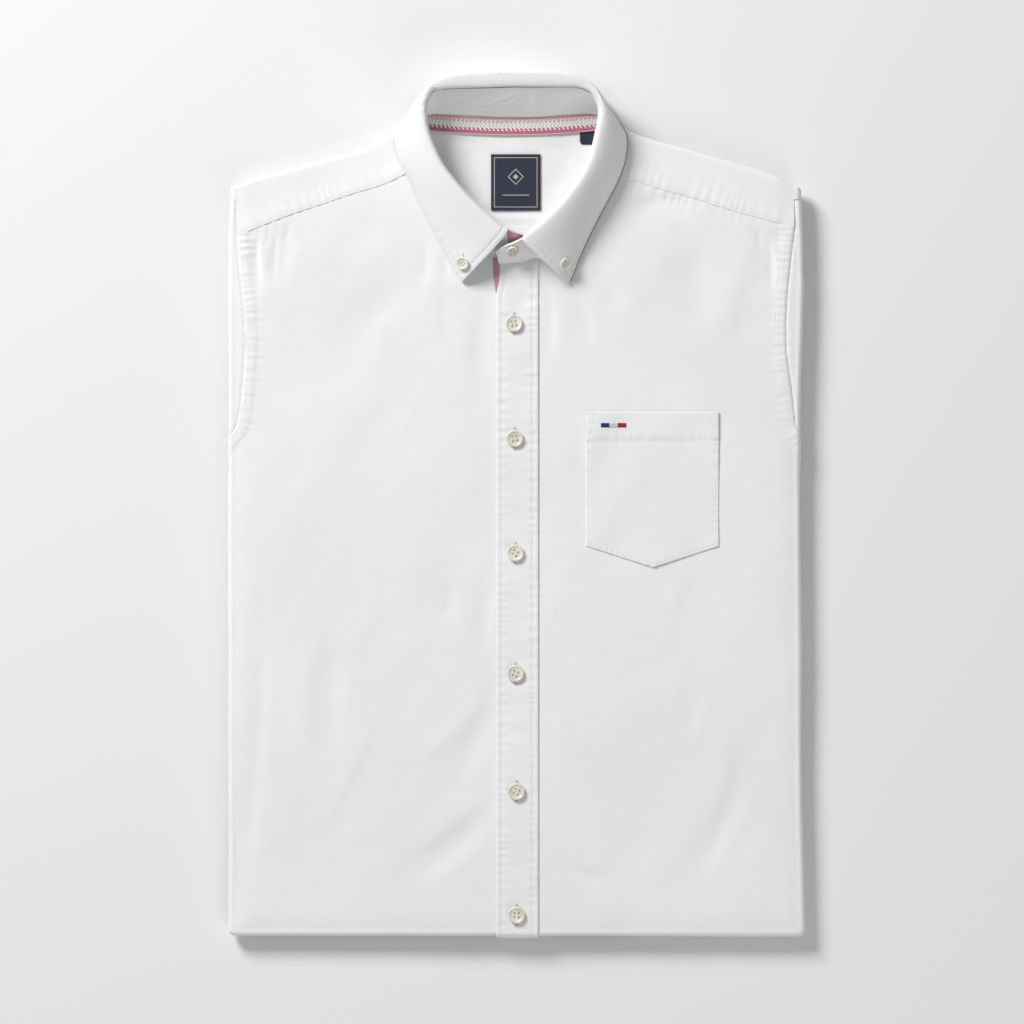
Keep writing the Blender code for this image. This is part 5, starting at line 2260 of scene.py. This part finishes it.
    def stitch_paths(self) -> list[Array]:
        """The leaf's topstitching and the seam along the stand's top.

        Returns:
            Lines of points on the cloth.
        """
        points, _, _ = self.leaf_sheet()
        down = arc_lengths(points, 0)
        along = arc_lengths(points, 1)
        outer, ends = [], ([], [])
        for k in range(points.shape[1]):
            target = down[-1, k] - self.topstitch
            if self.topstitch < along[-1, k] < along[-1, -1] - self.topstitch:
                outer.append(point_at(points[:, k], down[:, k], target))
        for k in range(10, points.shape[0]):
            remaining = float(down[-1, 0] - down[k, 0])
            if remaining < self.topstitch:
                break
            for side, target in ((0, self.topstitch), (1, float(along[k, -1]) - self.topstitch)):
                ends[side].append(point_at(points[k], along[k], target))
        seam = points[1, 6:-6]
        return [np.array(outer), np.array(ends[0]), np.array(ends[1]), seam]


@dataclass
class NeckTrims(Piece):
    """The tape, the label and the tab that lie on the inner yoke.

    Attributes:
        yoke: The inner yoke that they lie on.
        step: Spacing of the shown meshes, in millimetres.
        thickness: Their thickness.
    """

    yoke: InnerYoke
    step: float = 0.8
    thickness: float = 0.8

    def patch(self, name: str, x_range: tuple[float, float], y_range: tuple[float, float],
              lift: float, material: bpy.types.Material, slot: Slot, bow: float = 0.0,
              corner: float = 0.0) -> bpy.types.Object:
        """Builds one flat trim.

        Args:
            name: The solid that it replaces.
            x_range: Its left and right edges, in millimetres.
            y_range: Its lower and upper edges.
            lift: How far its outer face lies above the inner yoke.
            material: Its finish.
            slot: Not used.
            bow: How much higher its ends lie on the page than its middle.
            corner: Radius of its lower corners.

        Returns:
            The shown object.
        """
        columns = max(12, int((x_range[1] - x_range[0]) / self.step))
        rows = max(10, int((y_range[1] - y_range[0]) / self.step))
        t, s = np.meshgrid(np.linspace(0, 1, rows), np.linspace(0, 1, columns), indexing="ij")
        x = x_range[0] + (x_range[1] - x_range[0]) * s
        y = y_range[0] + (y_range[1] - y_range[0]) * t
        side = np.minimum(x - x_range[0], x_range[1] - x)
        if corner:
            cut = corner - np.sqrt(corner**2 - np.clip(corner - side, 0, corner) ** 2)
            y = y + cut * (1 - t)
        uv = np.stack([x - x_range[0], y - y_range[0]], axis=-1)
        y = y + bow * (2 * s - 1) ** 2
        edge = np.minimum(side, np.minimum(y_range[1] - y, y - y_range[0]) + bow)
        z = STACK.inner_height(x, y) + lift + 0.6 * self.yoke.rise(x, y)
        z = z + 0.12 * SoftNoise(121, 9.0).at(x, y) - 0.35 * round_edge(edge, 0.7)
        mesh = thicken(grid_mesh(name, np.stack([x, y, z], axis=-1), uv), self.thickness)
        return show(f"shirt_{name}", mesh, material, name)

    def build(self) -> list[bpy.types.Object]:
        """Builds and dresses the trims.

        Returns:
            The tape, the label and the tab.
        """
        made = self.finishes
        return [
            self.patch("neck_tape", (-69.5, 62.5), (290.0, 304.2), 1.95, made.tape, Slot.TAPE,
                       bow=3.6),
            self.patch("neck_label", (-20.3, 18.3), (231.3, 275.1), 1.55, made.label, Slot.LABEL),
            self.patch("size_tab", (49.0, 61.0), (282.6, 293.8), 0.85, made.tab, Slot.LABEL,
                       corner=2.5),
        ]


@dataclass
class Pocket(StackedCloth):
    """The pointed chest pocket and the small bar sewn to its hem.

    Attributes:
        front: The front that it is sewn to.
        lift: How far its outer face lies above the front.
        stitch: How far in from its edge the stitching runs.
        hem_share: The share of its rows that the hem takes.
        hem_lift: How much thicker the hem is.
        hem_stitch: How far above the hem's lower line its stitching runs.
        corner: Depth and width of the reinforcements at its top corners.
        bar_x: The satin bar's ends.
        bar_y: Its lower and upper edges.
    """

    front: FrontPanel
    lift: float = 1.2
    stitch: float = 1.6
    hem_share: float = 0.2
    hem_lift: float = 0.45
    hem_stitch: float = 1.4
    corner: tuple[float, float] = (23.5, 5.6)
    bar_x: tuple[float, float] = (65.5, 85.0)
    bar_y: tuple[float, float] = (61.9, 65.6)

    def place(self, u: Array, v: Array) -> tuple[Array, Array]:
        """Places on the pocket.

        Args:
            u: Shares across, from -1 to 1.
            v: Shares down, from 0 to 1.

        Returns:
            Places across and along, in millimetres.
        """
        x = POCKET_LEFT + (POCKET_RIGHT - POCKET_LEFT) * (u + 1) / 2
        low = table_at(((POCKET_LEFT, POCKET_SIDE_BOTTOM), POCKET_TIP,
                        (POCKET_RIGHT, POCKET_SIDE_BOTTOM)), x)
        hem = POCKET_TOP + (POCKET_HEM - POCKET_TOP) * np.minimum(v / self.hem_share, 1)
        below = (low - POCKET_HEM) * np.maximum(v - self.hem_share, 0)
        return x, hem + below / (1 - self.hem_share)

    def sewn_path(self, inset: float) -> tuple[tuple[float, float], ...]:
        """The pocket's sewn edge, from its top left corner round the tip.

        Args:
            inset: How far to move it inward, in millimetres.

        Returns:
            The edge's corners.
        """
        left, right = POCKET_LEFT + inset, POCKET_RIGHT - inset
        side_bottom = POCKET_SIDE_BOTTOM + 0.85 * inset
        tip_x, tip_y = POCKET_TIP
        return ((left, POCKET_TOP), (left, side_bottom), (tip_x, tip_y + 1.05 * inset),
                (right, side_bottom), (right, POCKET_TOP))

    def corner_paths(self) -> list[tuple[tuple[float, float], ...]]:
        """The long triangular reinforcements at both top corners.

        Returns:
            Three corners of each.
        """
        top, (depth, width) = POCKET_TOP - 1.2, self.corner
        paths = []
        for x, way in ((POCKET_LEFT + self.stitch, 1), (POCKET_RIGHT - self.stitch, -1)):
            paths.append(((x, top), (x + way * width, top), (x, top - depth)))
        return paths

    def hem_line(self, inset: float) -> Table:
        """The hem's stitched line, with its ends moved inward."""
        y = POCKET_HEM + self.hem_stitch
        return ((POCKET_LEFT + inset, y), (POCKET_RIGHT - inset, y))

    def rise(self, a: Array, b: Array) -> Array:
        """How far the shown cloth lies above the plain stack.

        Args:
            a: Distances across the unrolled sheet, in millimetres.
            b: Distances along it.

        Returns:
            Heights in millimetres.
        """
        total = self.front.rise(a, b) + self.lift
        distance, _ = SeamLine(self.sewn_path(0.0)).locate(a, b)
        inside = np.minimum(np.abs(distance), POCKET_TOP - b)
        total = total - round_edge(np.clip(inside, 0, None), 0.9)
        total = total + self.hem_lift * smoothstep((b - POCKET_HEM) / 1.2 + 0.5)
        rows = [PuckerRow(self.sewn_path(self.stitch), groove=0.24, pucker=0.15, pitch=7.2,
                          reach=4.5, seed=131),
                PuckerRow(self.hem_line(0.0), groove=0.24, pucker=0.1, pitch=8.0, reach=5.0,
                          seed=133)]
        rows += [PuckerRow(path, groove=0.16, pucker=0.05, pitch=4.0, reach=2.0, seed=135)
                 for path in self.corner_paths()]
        for row in rows:
            total = total + row.relief(a, b)
        return total + 0.45 * SoftNoise(137, 26.0).at(a - 0.5 * b, 0.5 * b)

    def build(self) -> bpy.types.Object:
        """Builds and dresses the pocket.

        Returns:
            The shown object.
        """
        inset = np.array([0.0, 0.3, 0.7, 1.2])
        near = inset / 52
        u = np.r_[-1 + near, np.linspace(-0.955, 0.955, 96), 1 - near[::-1]]
        near = inset / 110
        at_hem = self.hem_share + np.array([0.012, 0.007, 0.002, -0.004, -0.01, -0.016, -0.022])
        v = np.r_[1 - near, np.linspace(0.98, 0.22, 80), at_hem, np.linspace(0.172, 0.02, 20),
                  near[::-1]]
        v, u = np.meshgrid(v, u, indexing="ij")
        x, y = self.place(u, v)
        return self.rimmed("pocket", self.over(x, y), np.stack([x, y], axis=-1), 0.95)

    def build_bar(self) -> bpy.types.Object:
        """Builds and dresses the satin bar.

        Returns:
            The shown object.
        """
        y, x = np.meshgrid(np.linspace(*self.bar_y, 11), np.linspace(*self.bar_x, 50),
                           indexing="ij")
        across = np.minimum(y - self.bar_y[0], self.bar_y[1] - y)
        rise = self.rise(x, y) + 0.55 - 0.8 * round_edge(across, 0.9)
        uv = np.stack([x - self.bar_x[0], y - self.bar_y[0]], axis=-1)
        mesh = thicken(grid_mesh("flag_bar", STACK.points(x, y, rise), uv), 0.7)
        return show("shirt_flag_bar", mesh, self.finishes.flag, "flag_bar")

    def stitch_paths(self) -> list[Array]:
        """Every stitched line of the pocket.

        Returns:
            Lines of points on the cloth.
        """
        paths = []
        for line in (self.sewn_path(self.stitch), *self.corner_paths(), self.hem_line(2.0)):
            corners = np.array(line, float)
            walked = walked_along(corners)
            at = np.arange(0, walked[-1], 0.8)
            paths.append(self.over(*(np.interp(at, walked, corners[:, k]) for k in (0, 1))))
        return paths


@dataclass(frozen=True)
class ButtonShape:
    """A turned four-hole button.

    Attributes:
        radius: Its radius, in millimetres.
        height: Its height.
        slit: Half the length of its buttonhole.
        hole: Radius of a hole, as a share of its own.
        spread: How far a hole lies from the middle, across and along, as such a share.
        segments: How many steps it is turned in.
        profile: Its section, as shares of its radius and height.
    """

    radius: float
    height: float
    slit: float
    hole: float = 0.105
    spread: float = 0.255
    segments: int = 48
    profile: Table = ((0.0, 0.0), (0.74, 0.0), (0.94, 0.22), (1.0, 0.5), (0.98, 0.78),
                      (0.93, 0.96), (0.87, 1.0), (0.80, 0.97), (0.73, 0.84), (0.66, 0.74),
                      (0.52, 0.70), (0.0, 0.68))

    def mesh(self) -> bpy.types.Mesh:
        """Turns the button and drills its holes.

        Returns:
            The mesh, lying on the origin.
        """
        turned = bmesh.new()
        last = None
        for r, z in self.profile:
            vertex = turned.verts.new((r * self.radius * MM, 0, z * self.height * MM))
            if last:
                turned.edges.new((last, vertex))
            last = vertex
        bmesh.ops.spin(turned, geom=turned.verts[:] + turned.edges[:], cent=(0, 0, 0),
                       axis=(0, 0, 1), angle=2 * math.pi, steps=self.segments,
                       use_duplicate=False)
        bmesh.ops.remove_doubles(turned, verts=turned.verts, dist=1e-6)
        bmesh.ops.recalc_face_normals(turned, faces=turned.faces)
        body = put_in_scene("button_body", mesh_from("button_body", turned))
        drilled = bmesh.new()
        drill = self.hole * self.radius * MM
        for sx in (-1, 1):
            for sy in (-1, 1):
                shift = Matrix.Translation((sx * self.spread * self.radius * MM,
                                            sy * self.spread * self.radius * MM, 0))
                bmesh.ops.create_cone(drilled, cap_ends=True, segments=20, radius1=drill,
                                      radius2=drill, depth=6 * self.height * MM, matrix=shift)
        cutter = put_in_scene("button_drill", mesh_from("button_drill", drilled))
        cut = body.modifiers.new("holes", "BOOLEAN")
        cut.object = cutter
        cut.operation = "DIFFERENCE"
        cut.solver = "EXACT"
        graph = bpy.context.evaluated_depsgraph_get()
        made = bpy.data.meshes.new_from_object(body.evaluated_get(graph))
        bpy.data.objects.remove(body)
        bpy.data.objects.remove(cutter)
        return made


@dataclass
class Button(Piece):
    """A button sewn to the shirt, with its thread and its buttonhole.

    Attributes:
        node: The solid that it replaces.
        shape: Its shape.
        spot: Where its foot is, in millimetres.
        normal: Which way it faces.
    """

    node: str
    shape: ButtonShape
    spot: Array
    normal: Array

    def frame(self) -> Matrix:
        """The button's place and tilt."""
        turn = Vector(self.normal).to_track_quat("Z", "Y").to_matrix().to_4x4()
        return Matrix.Translation((Vector(self.spot) + Vector(FRAME_SHIFT)) * MM) @ turn

    def build(self, master: bpy.types.Mesh) -> list[bpy.types.Object]:
        """Builds and dresses the button and its thread.

        Args:
            master: The button's mesh, lying on the origin.

        Returns:
            The button and its thread.
        """
        mesh = master.copy()
        mesh.transform(self.frame())
        button = show(f"shirt_{self.node}", mesh, self.finishes.button, self.node, 35)
        sewn = bmesh.new()
        reach = self.shape.spread * self.shape.radius
        size = Matrix.Diagonal((0.3 * MM, (reach + 0.1) * MM, 0.2 * MM, 1.0))
        for side in (-1, 1):
            place = Matrix.Translation((side * reach * MM, 0, 0.74 * self.shape.height * MM))
            bmesh.ops.create_uvsphere(sewn, u_segments=12, v_segments=8, radius=1.0,
                                      matrix=self.frame() @ place @ size)
        thread = mesh_from(f"{self.node}_thread", sewn)
        return [button, show(f"thread_{self.node}", thread, self.finishes.thread)]


@dataclass
class Buttonhole(Piece):
    """A worked buttonhole that runs along the shirt behind its button.

    Attributes:
        name: The piece's name.
        path: Its line, as points on the cloth in millimetres.
        width: Its width.
        pitch: Distance between its stitches.
        bar: Length of the closed bar at each end.
        radius: Radius of its thread.
        lift: How far the thread lies above the path.
    """

    name: str
    path: Array
    width: float = 2.2
    pitch: float = 0.48
    bar: float = 1.3
    radius: float = 0.24
    lift: float = 0.1

    def build(self) -> bpy.types.Object:
        """Works the buttonhole.

        Returns:
            The shown object.
        """
        walked = walked_along(self.path)
        sewer = Stitching(radius=self.radius, lift=self.lift)
        sewn = bmesh.new()
        half = self.width / 2
        for at in np.arange(0, walked[-1], self.pitch):
            spot = Vector(point_at(self.path, walked, at))
            at_end = at < self.bar or at > walked[-1] - self.bar
            spans = ((-half, half),) if at_end else ((-half, -0.05), (0.05, half))
            for start, end in spans:
                sewer.add(sewn, spot + Vector((start, 0, 0)), spot + Vector((end, 0.12, 0)))
        mesh = mesh_from(self.name, sewn)
        return show(self.name, mesh, self.finishes.thread, sharp=180.0)


@dataclass(frozen=True)
class Lamp:
    """A soft light that faces the shirt.

    Attributes:
        name: Its name.
        place: Where it is, in metres.
        size: Its width.
        power: Its power in watts.
    """

    name: str
    place: tuple[float, float, float]
    size: float
    power: float

    def build(self) -> None:
        """Hangs the light."""
        lamp = bpy.data.lights.new(self.name, "AREA")
        lamp.shape = "DISK"
        lamp.size = self.size
        lamp.energy = self.power
        item = put_in_scene(self.name, lamp)
        item.location = self.place
        item.rotation_euler = (-Vector(self.place)).to_track_quat("-Z", "Y").to_euler()


@dataclass
class Studio:
    """The plain pale floor, the soft light and the camera.

    Attributes:
        distance: How high the camera is above the cloth, in metres.
        width: How much of the floor it sees.
        centre: The middle of its view.
        cloth_height: How high the cloth lies.
        sensor: The camera's sensor, in millimetres.
        floor_half: Half the floor's width, in metres.
        floor_colour: The floor's colour.
        room_colour: The colour of the light all round.
        room_strength: Its strength.
        lamps: The soft lights.
    """

    distance: float = 6.0
    width: float = 0.79872
    centre: tuple[float, float] = (-0.00345, -0.00456)
    cloth_height: float = 0.017
    sensor: float = 36.0
    floor_half: float = 4.0
    floor_colour: Colour = (0.84, 0.84, 0.845)
    room_colour: Colour = (0.975, 0.98, 1.0)
    room_strength: float = 0.26
    lamps: tuple[Lamp, ...] = (Lamp("key", (-2.0, 2.4, 2.1), 1.4, 142.0),
                               Lamp("fill", (1.4, -2.6, 2.0), 2.4, 34.0))

    def build(self) -> None:
        """Sets the shirt's stage."""
        plane = bmesh.new()
        bmesh.ops.create_grid(plane, x_segments=1, y_segments=1, size=self.floor_half)
        mesh = mesh_from("floor", plane)
        mesh.materials.append(Paint("floor_paper", self.floor_colour, 0.9).build())
        put_in_scene("floor", mesh)
        for lamp in self.lamps:
            lamp.build()
        world = bpy.data.worlds.new("pale_room")
        world.use_nodes = True
        back = world.node_tree.nodes["Background"]
        back.inputs["Color"].default_value = (*self.room_colour, 1.0)
        back.inputs["Strength"].default_value = self.room_strength
        bpy.context.scene.world = world
        camera = bpy.data.cameras.new("overhead")
        camera.sensor_width = self.sensor
        camera.lens = self.sensor * self.distance / self.width
        camera.clip_end = 20.0
        item = put_in_scene("overhead", camera)
        item.location = (*self.centre, self.distance + self.cloth_height)
        bpy.context.scene.camera = item
        bpy.context.scene.view_settings.view_transform = "Standard"


@dataclass
class Shirt:
    """The whole folded shirt.

    Attributes:
        finishes: Its materials.
        pieces: Every shown piece by name.
        foot_gap: How far a button's foot stands off the cloth, in millimetres.
    """

    finishes: Finishes
    pieces: dict[str, bpy.types.Object] = field(default_factory=dict)
    foot_gap: float = 0.3

    def keep(self, *made: bpy.types.Object) -> None:
        """Remembers pieces and reports them.

        Args:
            made: The pieces.
        """
        for piece in made:
            self.pieces[piece.name] = piece
            LOG.info("%s: %d faces", piece.name, len(piece.data.polygons))

    def spot_on(self, piece: str, x: float, y: float) -> tuple[Array, Array]:
        """Finds the top of a piece below a place on the page.

        Args:
            piece: The piece's name.
            x: The place across, in millimetres.
            y: The place along.

        Returns:
            The point and the direction that the piece faces there, averaged round it.
        """
        item = self.pieces[piece]
        bpy.context.view_layer.update()
        normal = Vector()
        for dx, dy in ((0, 0), (3, 0), (-3, 0), (0, 3), (0, -3)):
            start = (Vector((x + dx, y + dy, 90)) + Vector(FRAME_SHIFT)) * MM
            _, place, face, _ = item.ray_cast(start, Vector((0, 0, -1)))
            normal += face
            if dx == 0 and dy == 0:
                spot = place / MM - Vector(FRAME_SHIFT)
        return np.array(spot), np.array(normal.normalized())

    def line_on(self, piece: str, x: float, y_range: tuple[float, float]) -> Array:
        """Lays a straight line over a piece.

        Args:
            piece: The piece's name.
            x: Its place across, in millimetres.
            y_range: Its lower and upper ends.

        Returns:
            Points on the piece.
        """
        return np.array([self.spot_on(piece, x, y)[0] for y in np.linspace(*y_range, 14)])

    def build_cloth(self) -> None:
        """Builds every cloth piece and its stitches."""
        made = self.finishes
        right = FrontPanel(made, "front_right", -1, ARMHOLE_RIGHT, YOKE_SEAM_RIGHT)
        left = FrontPanel(made, "front_left", 1, ARMHOLE_LEFT, YOKE_SEAM_LEFT)
        yoke = Yoke(made)
        inner = InnerYoke(made)
        placket = Placket(made)
        collar = Collar(made)
        pocket = Pocket(made, left)
        self.keep(FoldedLayers(made).build(), right.build(), left.build(), yoke.build(),
                  inner.build(), Sleeve(made, "sleeve_right", -1, ARMHOLE_RIGHT).build(),
                  Sleeve(made, "sleeve_left", 1, ARMHOLE_LEFT).build(), placket.build(),
                  ButtonBand(made).build(), collar.build_stand(), collar.build_leaf(),
                  collar.build_facing(), *NeckTrims(made, inner).build(), pocket.build(),
                  pocket.build_bar())
        sewer = Stitching()
        self.keep(
            sewer.build("stitches_fronts", [right.stitch_path(), left.stitch_path()], made),
            sewer.build("stitches_yoke", yoke.stitch_paths(), made),
            sewer.build("stitches_inner_yoke", [inner.stitch_path()], made),
            sewer.build("stitches_placket", placket.stitch_paths(), made),
            sewer.build("stitches_collar", collar.stitch_paths(), made),
            sewer.build("stitches_pocket", pocket.stitch_paths(), made),
        )

    def build_buttons(self) -> None:
        """Builds every button with its thread and buttonhole."""
        made = self.finishes
        large = ButtonShape(radius=6.65, height=2.6, slit=9.0)
        small = ButtonShape(radius=5.0, height=2.2, slit=7.2)
        large_mesh, small_mesh = large.mesh(), small.mesh()
        rows = [(f"button_{k}", "shirt_placket", x, y, large, large_mesh)
                for k, (x, y) in enumerate(PLACKET_BUTTONS, start=1)]
        rows.append(("button_stand", "shirt_collar_stand", *STAND_BUTTON, small, small_mesh))
        rows += [(f"button_collar_{side}", "shirt_collar_leaf", x, y, small, small_mesh)
                 for side, x, y in COLLAR_BUTTONS]
        for node, piece, x, y, shape, master in rows:
            spot, normal = self.spot_on(piece, x, y)
            spot = spot + normal * self.foot_gap
            self.keep(*Button(made, node, shape, spot, normal).build(master))
            if node != "button_stand":
                path = self.line_on(piece, x, (y - shape.slit, y + shape.slit))
                self.keep(Buttonhole(made, f"hole_{node}", path).build())

    def declare_sheets(self) -> None:
        """Looks up every cloth piece that shows, with its cut, how it lies, what it rests on, its
        area and the pieces sewn to it; nothing is stated.
        """
        get = self.pieces.get
        folded = Held.FOLDED.value
        laid = Held.LAID.value
        core = "shirt_folded_layers"
        rows = (
            ("shirt_front_right", (0.241, 0.612), folded, (core,), 0.134),
            ("shirt_front_left", (0.241, 0.612), folded, (core,), 0.132),
            ("shirt_yoke", (0.470, 0.115), folded, (core,), 0.0178),
            ("shirt_yoke_inner", (0.160, 0.120), laid, (core,), 0.0142),
            ("shirt_sleeve_right", (0.030, 0.195), folded, (core,), 0.0044),
            ("shirt_sleeve_left", (0.030, 0.195), folded, (core,), 0.0042),
            ("shirt_placket", (0.0332, 0.551), folded, ("shirt_front_left",), None),
            ("shirt_button_band", (0.0118, 0.0261), laid, ("shirt_front_right",), 0.00015),
            ("shirt_collar_stand", (0.445, 0.034), folded, ("shirt_yoke",), 0.0127),
            ("shirt_collar_leaf", (0.480, 0.062), folded, ("shirt_collar_stand",), 0.0208),
            ("shirt_neck_tape", (0.132, 0.0142), laid, ("shirt_yoke_inner",), None),
            ("shirt_neck_label", (0.0386, 0.0438), laid, ("shirt_yoke_inner",), None),
            ("shirt_size_tab", (0.012, 0.0112), laid, ("shirt_yoke_inner",), None),
            ("shirt_pocket", (0.1035, 0.1215), laid, ("shirt_front_left",), 0.0118),
        )
        sewn = {
            "shirt_front_right": ("stitches_fronts",),
            "shirt_yoke": ("stitches_yoke",),
            "shirt_yoke_inner": ("stitches_inner_yoke",),
            "shirt_placket": ("stitches_placket",),
            "shirt_collar_leaf": ("stitches_collar", "collar_facing"),
            "shirt_pocket": ("stitches_pocket", "shirt_flag_bar"),
        }
        for name, flat, held, rests_on, area in rows:
            with_pieces = [get(other) for other in sewn.get(name, ())]
            get(name)
            [get(n) for n in rests_on]


def main() -> None:
    """Builds the shirt and its stage, and looks up its cloth pieces."""
    logging.basicConfig(level=logging.INFO, format="%(name)s %(message)s")
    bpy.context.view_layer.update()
    shirt = Shirt(Finishes())
    shirt.build_cloth()
    shirt.build_buttons()
    shirt.declare_sheets()
    Studio().build()


if __name__ == "__main__":
    main()
